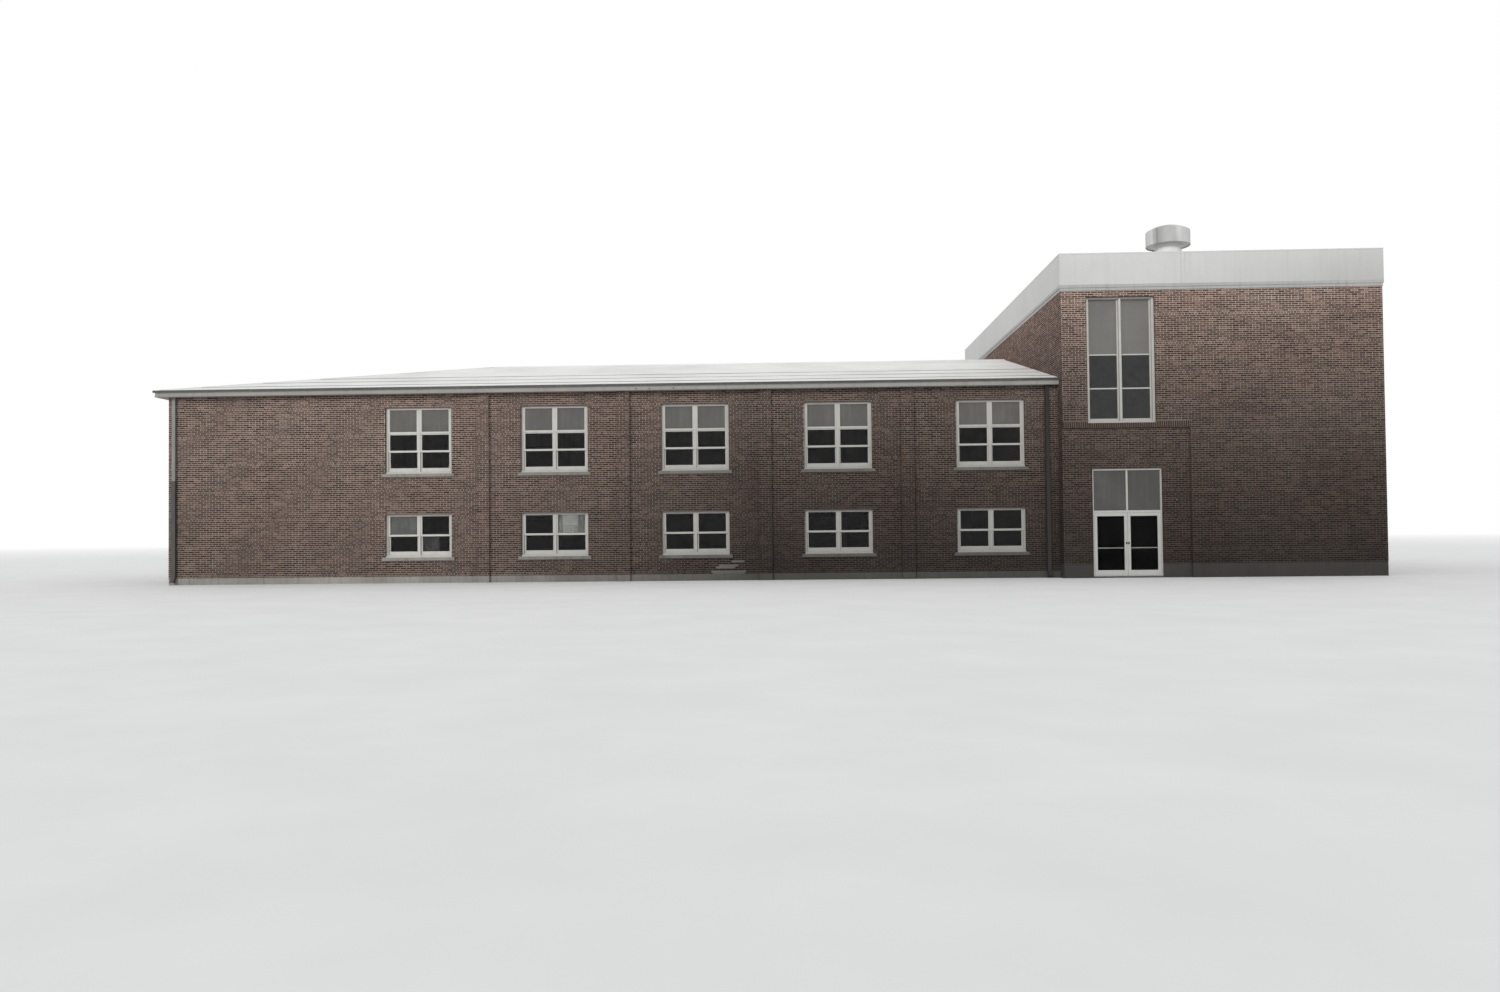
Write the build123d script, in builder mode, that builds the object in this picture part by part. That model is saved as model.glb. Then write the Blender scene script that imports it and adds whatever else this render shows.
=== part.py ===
from build123d import *
from math import atan2, degrees, sqrt
import os

os.makedirs("parts", exist_ok=True)

# School building: a low two-storey wing with brick pilasters and a taller hall with the
# entrance, the stair window, a clad parapet and a ventilator. Millimetres. X runs along the
# front from the wing's left corner, Y runs back from the wing's front wall and Z runs up
# from the ground. The finished pieces are moved so that the origin is under the middle.

# Wing
wing_length = 28870
wing_depth = 17000
wall_thickness = 300
wing_base_height = 220
wing_wall_top = 6350
upper_floor_level = 2780
floor_thickness = 180

# Pilasters
bay = 4572
pilaster_count = 5
pilaster_width = 406
pilaster_proud = 100

# Wing windows
window_shifts = (359, 61, 33, 35, 157)
window_width = 2187
ground_sill_level = 830
ground_meeting_level = 1515
ground_head_level = 2240
upper_sill_level = 3549
upper_meeting_level = 4256
upper_head_level = 5714
upper_panel_foot = 4921
frame_setback = 100
frame_depth = 120
frame_jamb = 70
frame_head = 35
frame_mullion = 60
sub_sill_height = 75
sash_rail = 58
sash_stile = 52
sash_top = 35
sash_bottom = 115
sash_thickness = 40
sash_play = 2
glass_thickness = 6
panel_thickness = 30
sub_sill_nose = 70
sub_sill_drip = 25
masonry_sill_height = 100
masonry_sill_overhang = 100
masonry_sill_bevel = 15
masonry_sill_nose = 60

# Wing roof and eaves
roof_slope = 0.22
roof_thickness = 60
roof_overhang = 350
eave_overhang = 300
eave_board = 25
soffit_level = 6130
eave_joint = 2
roof_cap_reach = 150
roof_cap_thickness = 20

# Downspouts
downspout_width = 110
downspout_depth = 80
downspout_standoff = 20
left_downspout_inset = 200
right_downspout_inset = 355
lower_pipe_level = 3400
lower_pipe_extra = 8
downspout_shoe_level = 270
downspout_foot_level = 80
downspout_shoe_reach = 130
strap_levels = (1500, 3750, 5500)
strap_height = 40
strap_thickness = 5

# Hall
hall_length = 9910
hall_proud = 700
hall_wall_top = 9005
hall_base_height = 437
hall_floor_level = 50
recess_depth = 100
recess_length = 3950
recess_top = 4700
deck_thickness = 185
parapet_height = 990
parapet_thickness = 120
parapet_overhang = 40
trim_step = 20

# Stair window
stair_window_offset = 780
stair_window_width = 2125
stair_sill_level = 4845
stair_head_level = 8803
stair_frame_depth = 160
stair_frame_head = 44
stair_frame_foot = 60
stair_jamb = 80
stair_mullion = 62
stair_sash_setback = 100
stair_sash_stile = 42
stair_sash_foot = 88
stair_bars = (5945, 7010)
stair_bar_height = 38

# Entrance
entrance_offset = 910
entrance_width = 2170
entrance_top = 3420
entrance_jamb = 50
transom_level = 2035
transom_bar = 70
entrance_bar = 55
leaf_side_gap = 5
leaf_meeting_gap = 8
leaf_top_gap = 5
leaf_foot_gap = 15
leaf_thickness = 45
leaf_stile = 90
leaf_top_rail = 96
leaf_bottom_rail = 168
entrance_setback = 60
knuckle_radius = 10
knuckle_length = 50
knuckle_play = 0.5
pin_radius = 5
pin_play = 0.3
hinge_lug = 3
hinge_lug_reach = 30
hinge_levels = (250, 1800)
push_bar_level = 930
push_bar_radius = 16
push_bar_reach = 70

# Ventilator
vent_from_front = 1600
vent_from_left = 3900
vent_hood_radius = 695
vent_hood_height = 480
vent_hood_rise = 200
vent_hood_rings = (500, 250, 60)
vent_rim_level = 10750
vent_sheet = 12
vent_throat_radius = 420
vent_curb = 1060
vent_curb_height = 320
vent_stay = 12
vent_stay_play = 0.3

# Places worked out from the sizes above
hall_left = wing_length
hall_right = hall_left + hall_length
hall_front = -hall_proud
hall_back = wing_depth + hall_proud
recess_face = hall_front + recess_depth
recess_right = hall_left + recess_length
last_pilaster = wing_length - pilaster_width / 2
pilaster_centres = [last_pilaster - bay * n for n in range(pilaster_count)]
window_centres = [last_pilaster - bay * (n + 0.5) + shift for n, shift in enumerate(window_shifts)]
door_left = hall_left + entrance_offset
door_right = door_left + entrance_width
door_middle = (door_left + door_right) / 2
entrance_face = recess_face + entrance_setback
stair_left = hall_left + stair_window_offset
stair_middle = stair_left + stair_window_width / 2
roof_edge_level = wing_wall_top + roof_thickness - roof_slope * roof_overhang
ridge_y = wing_depth / 2
deck_top = hall_wall_top + deck_thickness
middle_x = (hall_right + parapet_overhang - roof_overhang) / 2
middle_y = wing_depth / 2
to_middle = Location((-middle_x, -middle_y, 0))


def save(piece, node):
    """Label a finished piece, move it over the origin and write it out."""
    moved = piece.moved(to_middle)
    moved.label = node
    export_step(moved, "parts/" + node + ".step")


def box(x_range, y_range, z_range, mode=Mode.ADD):
    """A block that fills a range along each axis."""
    ranges = (x_range, y_range, z_range)
    with Locations(Vector(*(sum(ends) / 2 for ends in ranges))):
        Box(*(high - low for low, high in ranges), mode=mode)


def upright(y):
    """The vertical plane that faces the front at a given depth."""
    return Plane.XZ.offset(-y)


# Wing masonry
with BuildPart() as wing_foundation:
    box((0, wing_length), (0, wing_depth), (0, wing_base_height))
    for x in pilaster_centres:
        half = pilaster_width / 2
        box((x - half, x + half), (-pilaster_proud, wing_depth + pilaster_proud), (0, wing_base_height))
save(wing_foundation.part, "wing_foundation")


def window_rows():
    """Sill, meeting rail, top of the sashes and head of each row of wing windows."""
    return ((ground_sill_level, ground_meeting_level, ground_head_level - frame_head, ground_head_level),
            (upper_sill_level, upper_meeting_level, upper_panel_foot - sash_rail, upper_head_level))


sill_end_angle = degrees(atan2(masonry_sill_height, masonry_sill_bevel))


def sill_faces(face):
    """The masonry sills under one wall's windows, drawn in elevation."""
    with BuildSketch(upright(face)) as faces:
        for sill, meeting, top, head in window_rows():
            with Locations([(x, sill - masonry_sill_height / 2) for x in window_centres]):
                Trapezoid(window_width + 2 * masonry_sill_overhang, masonry_sill_height, sill_end_angle)
    return faces.sketch


def window_wall(face, side):
    """A brick wall with pilasters and two rows of windows; side is 1 in front, -1 behind."""
    with BuildPart() as wall:
        with BuildSketch(upright(face)):
            with Locations((wing_length / 2, (wing_base_height + wing_wall_top) / 2)):
                Rectangle(wing_length, wing_wall_top - wing_base_height)
            for sill, meeting, top, head in window_rows():
                with Locations([(x, (sill + head) / 2) for x in window_centres]):
                    Rectangle(window_width, head - sill, mode=Mode.SUBTRACT)
        extrude(amount=-side * wall_thickness)
        with BuildSketch(upright(face)):
            with Locations([(x, (wing_base_height + soffit_level) / 2) for x in pilaster_centres]):
                Rectangle(pilaster_width, soffit_level - wing_base_height)
        extrude(amount=side * pilaster_proud)
        extrude(sill_faces(face), amount=-side * frame_setback, mode=Mode.SUBTRACT)
    return wall.part


save(window_wall(0, 1), "wing_front_wall")
save(window_wall(wing_depth, -1), "wing_rear_wall")

with BuildPart() as wing_left_wall:
    box((0, wall_thickness), (wall_thickness, wing_depth - wall_thickness),
        (wing_base_height, wing_wall_top))
save(wing_left_wall.part, "wing_left_wall")

with BuildPart() as wing_upper_floor:
    box((wall_thickness, wing_length), (wall_thickness, wing_depth - wall_thickness),
        (upper_floor_level - floor_thickness, upper_floor_level))
save(wing_upper_floor.part, "wing_upper_floor")


# Wing windows
def window_sills(face, side):
    """The projecting masonry sills under one wall's windows, bedded in its brickwork."""
    with BuildPart() as sills:
        extrude(sill_faces(face + side * frame_setback), amount=side * (frame_setback + masonry_sill_nose))
    return sills.part


light_width = (window_width - 2 * frame_jamb - frame_mullion) / 2
light_reach = (light_width + frame_mullion) / 2
light_centres = [x + way * light_reach for x in window_centres for way in (-1, 1)]
panel_head = upper_head_level - frame_head - sash_top


def light_faces(width, foot, head, mode=Mode.ADD):
    """A rectangle in each light of a row of windows, between two levels."""
    with Locations([(x, (foot + head) / 2) for x in light_centres]):
        Rectangle(width, head - foot, mode=mode)


def sub_sill_nose_face(sill, frame_face, side):
    """Section of the sloping nose that a wooden sub-sill carries out over the masonry sill."""
    with BuildSketch(Plane.YZ) as section:
        with BuildLine():
            Polyline((frame_face, sill), (frame_face, sill + sub_sill_height),
                     (frame_face - side * sub_sill_nose, sill + sub_sill_drip),
                     (frame_face - side * sub_sill_nose, sill), close=True)
        make_face()
    return section.sketch


def window_frames(face, side):
    """Wooden frames with their mullions and sub-sills, and with the panel openings above."""
    with BuildPart() as frames:
        with BuildSketch(upright(face + side * frame_setback)):
            for sill, meeting, top, head in window_rows():
                with Locations([(x, (sill + head) / 2) for x in window_centres]):
                    Rectangle(window_width, head - sill)
                light_faces(light_width, sill + sub_sill_height, top, mode=Mode.SUBTRACT)
            light_faces(light_width - 2 * sash_stile, upper_panel_foot, panel_head, mode=Mode.SUBTRACT)
        extrude(amount=-side * frame_depth)
        for sill, meeting, top, head in window_rows():
            nose = sub_sill_nose_face(sill, face + side * frame_setback, side)
            for x in window_centres:
                extrude(nose.moved(Location((x, 0, 0))), amount=window_width / 2, both=True)
    return frames.part


def sash_rows():
    """Foot, head, bottom rail and top rail of each row of sashes, with its track, 0 inside."""
    for sill, meeting, top, head in window_rows():
        yield sill + sub_sill_height, meeting + sash_rail, sash_bottom, sash_rail, 0
        yield meeting, top, sash_rail, sash_top, 1


def sash_face(face, side, track):
    """Outer face of the sashes in the inner track, 0, or in the outer track, 1."""
    inner = face + side * (frame_setback + frame_depth / 2)
    return inner - side * track * (sash_thickness + sash_play)


def window_sashes(face, side):
    """Every sash of one wall, each a frame of rails and stiles in its own track."""
    with BuildPart() as sashes:
        for foot, head, bottom_rail, top_rail, track in sash_rows():
            with BuildSketch(upright(sash_face(face, side, track))):
                light_faces(light_width, foot, head)
                light_faces(light_width - 2 * sash_stile, foot + bottom_rail, head - top_rail,
                            mode=Mode.SUBTRACT)
            extrude(amount=-side * sash_thickness)
    return sashes.part


def window_glass(face, side):
    """A pane in the middle of each sash."""
    with BuildPart() as panes:
        for foot, head, bottom_rail, top_rail, track in sash_rows():
            pane_face = sash_face(face, side, track) + side * (sash_thickness - glass_thickness) / 2
            with BuildSketch(upright(pane_face)):
                light_faces(light_width - 2 * sash_stile, foot + bottom_rail, head - top_rail)
            extrude(amount=-side * glass_thickness)
    return panes.part


def infill_panels(face, side):
    """The opaque panels that close the top of the upper windows."""
    with BuildPart() as panels:
        with BuildSketch(upright(face + side * (frame_setback + (frame_depth - panel_thickness) / 2))):
            light_faces(light_width - 2 * sash_stile, upper_panel_foot, panel_head)
        extrude(amount=-side * panel_thickness)
    return panels.part


save(window_sills(0, 1), "front_window_sills")
save(window_sills(wing_depth, -1), "rear_window_sills")
save(window_frames(0, 1), "front_window_frames")
save(window_frames(wing_depth, -1), "rear_window_frames")
save(window_sashes(0, 1), "front_window_sashes")
save(window_sashes(wing_depth, -1), "rear_window_sashes")
save(window_glass(0, 1), "front_window_glass")
save(window_glass(wing_depth, -1), "rear_window_glass")
save(infill_panels(0, 1), "front_infill_panels")
save(infill_panels(wing_depth, -1), "rear_infill_panels")

# Wing roof: three sloping plates that meet over the hips and the ridge
ridge_level = roof_edge_level + roof_slope * (ridge_y + roof_overhang)


def slope_profile(plane, foot=-roof_thickness, top=0):
    """Section of a roof plate, or of a layer on it, from the eave to the ridge, drawn across the eave."""
    with BuildSketch(plane) as section:
        with BuildLine():
            Polyline((-roof_overhang, roof_edge_level + foot), (-roof_overhang, roof_edge_level + top),
                     (ridge_y, ridge_level + top), (ridge_y, ridge_level + foot), close=True)
        make_face()
    return section.sketch


def plan_cut(points):
    """Keep only what stands over a plan outline."""
    with BuildSketch(Plane.XY) as plan:
        with BuildLine():
            Polyline(*points, close=True)
        make_face()
    extrude(plan.sketch, amount=2 * ridge_level, mode=Mode.INTERSECT)


with BuildPart() as wing_roof_front:
    extrude(slope_profile(Plane.YZ.offset(-roof_overhang)), amount=wing_length + roof_overhang)
    plan_cut(((-roof_overhang, -roof_overhang), (wing_length, -roof_overhang),
              (wing_length, ridge_y), (ridge_y, ridge_y)))
save(wing_roof_front.part, "wing_roof_front")

with BuildPart() as wing_roof_rear:
    mirror(wing_roof_front.part, about=upright(ridge_y))
save(wing_roof_rear.part, "wing_roof_rear")

with BuildPart() as wing_roof_hip:
    extrude(slope_profile(upright(-roof_overhang)), amount=-(wing_depth + 2 * roof_overhang))
    plan_cut(((-roof_overhang, -roof_overhang), (ridge_y, ridge_y),
              (-roof_overhang, wing_depth + roof_overhang)))
save(wing_roof_hip.part, "wing_roof_hip")


# Cap strips over the ridge and the two hips
hip_reach = roof_cap_reach * sqrt(2)

with BuildPart() as front_cap:
    extrude(slope_profile(Plane.YZ.offset(-roof_overhang), 0, roof_cap_thickness),
            amount=wing_length + roof_overhang)
    plan_cut(((-roof_overhang, -roof_overhang), (hip_reach - roof_overhang, -roof_overhang),
              (ridge_y - roof_cap_reach + hip_reach, ridge_y - roof_cap_reach),
              (wing_length, ridge_y - roof_cap_reach), (wing_length, ridge_y), (ridge_y, ridge_y)))

with BuildPart() as hip_caps:
    extrude(slope_profile(upright(-roof_overhang), 0, roof_cap_thickness),
            amount=-(wing_depth + 2 * roof_overhang))
    plan_cut(((-roof_overhang, -roof_overhang), (ridge_y, ridge_y),
              (-roof_overhang, wing_depth + roof_overhang),
              (-roof_overhang, wing_depth + roof_overhang - hip_reach), (ridge_y - hip_reach, ridge_y),
              (-roof_overhang, hip_reach - roof_overhang)))

with BuildPart() as roof_caps:
    add(front_cap.part)
    mirror(front_cap.part, about=upright(ridge_y))
    add(hip_caps.part)
save(roof_caps.part, "roof_caps")


def eave_profile(plane):
    """Soffit board and fascia board of a boxed eave, drawn outward from the wall."""
    under_roof = roof_edge_level - roof_thickness + roof_slope * (roof_overhang - eave_overhang)
    inner = eave_overhang - eave_board
    with BuildSketch(plane) as section:
        with BuildLine():
            Polyline((0, soffit_level), (-eave_overhang, soffit_level), (-eave_overhang, under_roof),
                     (-inner, under_roof), (-inner, soffit_level + eave_board),
                     (0, soffit_level + eave_board), close=True)
        make_face()
    return section.sketch


with BuildPart() as front_eave:
    extrude(eave_profile(Plane.YZ.offset(-eave_overhang)), amount=wing_length + eave_overhang)
    plan_cut(((-eave_overhang, -eave_overhang), (wing_length, -eave_overhang), (wing_length, 0), (0, 0)))

with BuildPart() as left_eave:
    extrude(eave_profile(upright(-eave_overhang)), amount=-(wing_depth + 2 * eave_overhang))
    plan_cut(((-eave_overhang, eave_joint - eave_overhang), (0, eave_joint), (0, wing_depth - eave_joint),
              (-eave_overhang, wing_depth + eave_overhang - eave_joint)))

with BuildPart() as boxed_eaves:
    add(front_eave.part)
    mirror(front_eave.part, about=upright(ridge_y))
    add(left_eave.part)
save(boxed_eaves.part, "boxed_eaves")


def downspout(x, carried_on):
    """A pipe under the eave with its straps, a heavier lower length and a shoe; it faces the front."""
    back = carried_on - downspout_standoff
    front = back - downspout_depth
    half = downspout_width / 2
    lower_half = half + lower_pipe_extra
    lower_front = front - lower_pipe_extra
    with BuildSketch(Plane.YZ) as lower_pipe:
        with BuildLine():
            Polyline((back, lower_pipe_level), (lower_front, lower_pipe_level),
                     (lower_front, downspout_shoe_level),
                     (lower_front - downspout_shoe_reach, downspout_foot_level),
                     (back - downspout_shoe_reach / 2, downspout_foot_level),
                     (back, downspout_shoe_level), close=True)
        make_face()
    extrude(lower_pipe.sketch.moved(Location((x, 0, 0))), amount=lower_half, both=True)
    box((x - half, x + half), (front, back), (lower_pipe_level, soffit_level))
    for level in strap_levels:
        box((x - lower_half - strap_thickness, x + lower_half + strap_thickness),
            (lower_front - strap_thickness, carried_on), (level, level + strap_height))


with BuildPart() as downspouts:
    downspout(left_downspout_inset, 0)
    downspout(wing_length - right_downspout_inset, -pilaster_proud)
save(downspouts.part, "downspouts")


# Hall masonry
def recess():
    """The shallow recess round the entrance, cut into whatever is being made."""
    box((hall_left, recess_right), (hall_front, recess_face), (0, recess_top), mode=Mode.SUBTRACT)


with BuildPart() as hall_base:
    box((hall_left, hall_right), (hall_front, hall_back), (0, hall_base_height))
    box((hall_left + wall_thickness, hall_right - wall_thickness),
        (hall_front + wall_thickness, hall_back - wall_thickness), (0, hall_base_height), mode=Mode.SUBTRACT)
    box((door_left, door_right), (hall_front, hall_front + wall_thickness), (0, hall_base_height),
        mode=Mode.SUBTRACT)
    recess()
save(hall_base.part, "hall_base")

front_wall_depth = (hall_front, hall_front + wall_thickness)

with BuildPart() as hall_left_pier:
    box((hall_left, door_left), front_wall_depth, (hall_base_height, entrance_top))
    recess()
save(hall_left_pier.part, "hall_left_pier")

with BuildPart() as hall_right_pier:
    box((door_right, hall_right), front_wall_depth, (hall_base_height, entrance_top))
    recess()
save(hall_right_pier.part, "hall_right_pier")


def stair_opening(face, side):
    """Cut the tall stair window through a hall wall."""
    box((stair_left, stair_left + stair_window_width), sorted((face, face + side * wall_thickness)),
        (stair_sill_level, stair_head_level), mode=Mode.SUBTRACT)


with BuildPart() as hall_front_wall:
    box((hall_left, hall_right), front_wall_depth, (entrance_top, hall_wall_top))
    recess()
    stair_opening(hall_front, 1)
save(hall_front_wall.part, "hall_front_wall")

with BuildPart() as hall_rear_wall:
    box((hall_left, hall_right), (hall_back - wall_thickness, hall_back), (hall_base_height, hall_wall_top))
    stair_opening(hall_back, -1)
save(hall_rear_wall.part, "hall_rear_wall")

side_wall_depth = (hall_front + wall_thickness, hall_back - wall_thickness)

with BuildPart() as hall_left_wall:
    box((hall_left, hall_left + wall_thickness), side_wall_depth, (hall_base_height, hall_wall_top))
save(hall_left_wall.part, "hall_left_wall")

with BuildPart() as hall_right_wall:
    box((hall_right - wall_thickness, hall_right), side_wall_depth, (hall_base_height, hall_wall_top))
save(hall_right_wall.part, "hall_right_wall")

with BuildPart() as hall_floor:
    box((hall_left + wall_thickness, hall_right - wall_thickness), side_wall_depth, (0, hall_floor_level))
    box((door_left, door_right), (recess_face, hall_front + wall_thickness), (0, hall_floor_level))
save(hall_floor.part, "hall_floor")

with BuildPart() as hall_roof_deck:
    box((hall_left, hall_right), (hall_front, hall_back), (hall_wall_top, deck_top))
save(hall_roof_deck.part, "hall_roof_deck")


# Hall parapet
def hall_outline(outset):
    """Plan rectangle of the hall, grown outward."""
    with Locations(((hall_left + hall_right) / 2, (hall_front + hall_back) / 2)):
        Rectangle(hall_length + 2 * outset, hall_back - hall_front + 2 * outset)


with BuildPart() as parapet_band:
    with BuildSketch(Plane.XY.offset(deck_top)):
        hall_outline(parapet_overhang)
        with Locations(((hall_left + hall_right) / 2, (hall_front + hall_back) / 2)):
            Rectangle(hall_length + 2 * (parapet_overhang - parapet_thickness),
                      hall_back - hall_front + 2 * (parapet_overhang - parapet_thickness),
                      mode=Mode.SUBTRACT)
    extrude(amount=parapet_height)
save(parapet_band.part, "parapet_band")

with BuildPart() as parapet_trim:
    with BuildSketch(Plane.XY.offset(hall_wall_top)):
        hall_outline(trim_step)
    extrude(amount=deck_thickness / 2)
    with BuildSketch(Plane.XY.offset(hall_wall_top + deck_thickness / 2)):
        hall_outline(2 * trim_step)
    extrude(amount=deck_thickness / 2)
    box((hall_left, hall_right), (hall_front, hall_back), (hall_wall_top, deck_top), mode=Mode.SUBTRACT)
save(parapet_trim.part, "parapet_trim")


# Stair windows, one in the front of the hall and one behind
stair_frame_width = (stair_window_width - 2 * stair_jamb - stair_mullion) / 2
stair_frame_rows = [(stair_sill_level + stair_frame_foot, stair_head_level - stair_frame_head)]


def stair_lights():
    """Foot and head of each row of lights, from the bottom."""
    foot, head = stair_frame_rows[0]
    feet = [foot + stair_sash_foot] + [level + stair_bar_height / 2 for level in stair_bars]
    heads = [level - stair_bar_height / 2 for level in stair_bars] + [head]
    return list(zip(feet, heads))


def stair_faces(width, rows, mode=Mode.ADD):
    """A rectangle either side of the mullion in each given row, drawn in the window's plane."""
    for foot, head in rows:
        with Locations((stair_middle, (foot + head) / 2)):
            with GridLocations(stair_frame_width + stair_mullion, 0, 2, 1):
                Rectangle(width, head - foot, mode=mode)


stair_light_width = stair_frame_width - 2 * stair_sash_stile


def stair_frame(face, side):
    """Frame of a stair window with its mullion, and the sashes with their bars set back in it."""
    with BuildPart() as frame:
        with BuildSketch(upright(face + side * frame_setback)):
            with Locations((stair_middle, (stair_sill_level + stair_head_level) / 2)):
                Rectangle(stair_window_width, stair_head_level - stair_sill_level)
            stair_faces(stair_frame_width, stair_frame_rows, mode=Mode.SUBTRACT)
        extrude(amount=-side * stair_frame_depth)
        with BuildSketch(upright(face + side * (frame_setback + stair_sash_setback))):
            stair_faces(stair_frame_width, stair_frame_rows)
            stair_faces(stair_light_width, stair_lights(), mode=Mode.SUBTRACT)
        extrude(amount=-side * sash_thickness)
    return frame.part


def stair_filling(face, side, rows, thickness):
    """Glass or panels in the middle of the sashes' thickness."""
    sash_middle = frame_setback + stair_sash_setback + sash_thickness / 2
    with BuildPart() as filling:
        with BuildSketch(upright(face + side * (sash_middle - thickness / 2))):
            stair_faces(stair_light_width, rows)
        extrude(amount=-side * thickness)
    return filling.part


def front_and_rear(piece_at):
    """The same piece in the hall's front wall and in its rear wall, as one node."""
    with BuildPart() as pair:
        add(piece_at(hall_front, 1))
        add(piece_at(hall_back, -1))
    return pair.part


glazed_rows = stair_lights()[:2]
closed_rows = stair_lights()[2:]
save(front_and_rear(stair_frame), "stair_window_frames")
save(front_and_rear(lambda face, side: stair_filling(face, side, glazed_rows, glass_thickness)),
     "stair_window_glass")
save(front_and_rear(lambda face, side: stair_filling(face, side, closed_rows, panel_thickness)),
     "stair_window_panels")

# Entrance
leaf_width = (entrance_width - 2 * entrance_jamb - 2 * leaf_side_gap - leaf_meeting_gap) / 2
leaf_foot = hall_floor_level + leaf_foot_gap
leaf_head = transom_level - leaf_top_gap
hinge_y = entrance_face - knuckle_radius
hinge_reach = (entrance_width - 2 * entrance_jamb - leaf_side_gap) / 2
transom_foot = transom_level + transom_bar
transom_head = entrance_top - entrance_bar
transom_light = (entrance_width - 3 * entrance_jamb) / 2


def transom_faces(mode=Mode.ADD):
    """The two lights over the doors."""
    with Locations((door_middle, (transom_foot + transom_head) / 2)):
        with GridLocations(transom_light + entrance_jamb, 0, 2, 1):
            Rectangle(transom_light, transom_head - transom_foot, mode=mode)


def hinge_part(x, low, high, way):
    """One knuckle of a hinge with the lug that carries it on the face beside it."""
    with BuildSketch(Plane.XY.offset(low)) as knuckle:
        with Locations((x, hinge_y)):
            Circle(knuckle_radius)
        with Locations((x + way * hinge_lug_reach / 2, entrance_face - hinge_lug / 2)):
            Rectangle(hinge_lug_reach, hinge_lug)
    extrude(knuckle.sketch, amount=high - low)


with BuildPart() as entrance_frame:
    with BuildSketch(upright(entrance_face)):
        with Locations((door_middle, (hall_floor_level + entrance_top) / 2)):
            Rectangle(entrance_width, entrance_top - hall_floor_level)
        with Locations((door_middle, (hall_floor_level + transom_level) / 2)):
            Rectangle(entrance_width - 2 * entrance_jamb, transom_level - hall_floor_level,
                      mode=Mode.SUBTRACT)
        transom_faces(mode=Mode.SUBTRACT)
    extrude(amount=-frame_depth)
    for way in (-1, 1):
        hinge_x = door_middle + way * hinge_reach
        for level in hinge_levels:
            hinge_part(hinge_x, level - knuckle_length, level, way)
            with BuildSketch(Plane.XY.offset(level)):
                with Locations((hinge_x, hinge_y)):
                    Circle(pin_radius)
            extrude(amount=knuckle_length)
save(entrance_frame.part, "entrance_frame")

with BuildPart() as transom_panels:
    with BuildSketch(upright(entrance_face + (frame_depth - panel_thickness) / 2)):
        transom_faces()
    extrude(amount=-panel_thickness)
save(transom_panels.part, "transom_panels")


# Door leaves; way is -1 for the left leaf and 1 for the right one
def leaf_middle(way):
    """Centre of a leaf along the front."""
    return door_middle + way * (leaf_meeting_gap + leaf_width) / 2


def leaf_light(way, mode=Mode.ADD):
    """The glazed opening of a leaf."""
    foot = leaf_foot + leaf_bottom_rail
    head = leaf_head - leaf_top_rail
    with Locations((leaf_middle(way), (foot + head) / 2)):
        Rectangle(leaf_width - 2 * leaf_stile, head - foot, mode=mode)


def door_leaf(way):
    """Rails and stiles of a leaf, with knuckles that drop over the frame's hinge pins."""
    hinge_x = door_middle + way * hinge_reach
    with BuildPart() as leaf:
        with BuildSketch(upright(entrance_face)):
            with Locations((leaf_middle(way), (leaf_foot + leaf_head) / 2)):
                Rectangle(leaf_width, leaf_head - leaf_foot)
            leaf_light(way, mode=Mode.SUBTRACT)
        extrude(amount=-leaf_thickness)
        for level in hinge_levels:
            hinge_part(hinge_x, level + knuckle_play, level + knuckle_length, -way)
            with BuildSketch(Plane.XY.offset(level + knuckle_play)):
                with Locations((hinge_x, hinge_y)):
                    Circle(pin_radius + pin_play)
            extrude(amount=knuckle_length - knuckle_play, mode=Mode.SUBTRACT)
    return leaf.part


def door_glass(way):
    """The pane of a leaf."""
    with BuildPart() as pane:
        with BuildSketch(upright(entrance_face + (leaf_thickness - glass_thickness) / 2)):
            leaf_light(way)
        extrude(amount=-glass_thickness)
    return pane.part


def push_bar(way):
    """The round bar across the inside of a leaf, on a bracket at each stile."""
    inner_face = entrance_face + leaf_thickness
    span = leaf_width - leaf_stile
    with BuildPart() as bar:
        with BuildSketch(Plane.YZ.offset(leaf_middle(way) - span / 2)):
            with Locations((inner_face + push_bar_reach, push_bar_level)):
                Circle(push_bar_radius)
        extrude(amount=span)
        for x in (leaf_middle(way) - span / 2, leaf_middle(way) + span / 2):
            box((x - push_bar_radius, x + push_bar_radius), (inner_face, inner_face + push_bar_reach),
                (push_bar_level - 2 * push_bar_radius, push_bar_level + 2 * push_bar_radius))
    return bar.part


for way, hand in ((-1, "left"), (1, "right")):
    save(door_leaf(way), hand + "_door_leaf")
    save(door_glass(way), hand + "_door_glass")
    save(push_bar(way), hand + "_push_bar")

# Ventilator on the hall roof
vent_x = hall_left + vent_from_left
vent_y = hall_front + vent_from_front
vent_middle = Plane((vent_x, vent_y, deck_top))
curb_top = deck_top + vent_curb_height
hood_shoulder = vent_rim_level + vent_hood_height
hood_apex = hood_shoulder + vent_hood_rise
stay_foot = vent_rim_level + vent_hood_height / 2

with BuildPart() as vent_curb_box:
    with BuildSketch(vent_middle):
        Rectangle(vent_curb, vent_curb)
    extrude(amount=vent_curb_height)
save(vent_curb_box.part, "vent_curb")

with BuildPart() as vent_throat:
    with BuildSketch(vent_middle.offset(vent_curb_height)):
        Circle(vent_throat_radius)
    extrude(amount=hood_shoulder - curb_top - vent_sheet)
    with BuildSketch(vent_middle.offset(stay_foot - deck_top)):
        for turn in (0, 45, 90, 135):
            Rectangle(2 * vent_hood_radius, vent_stay, rotation=turn)
        Circle(vent_hood_radius - vent_sheet - vent_stay_play, mode=Mode.INTERSECT)
        Circle(vent_throat_radius - vent_sheet / 2, mode=Mode.SUBTRACT)
    extrude(amount=vent_hood_height / 4)
save(vent_throat.part, "vent_throat")

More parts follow.
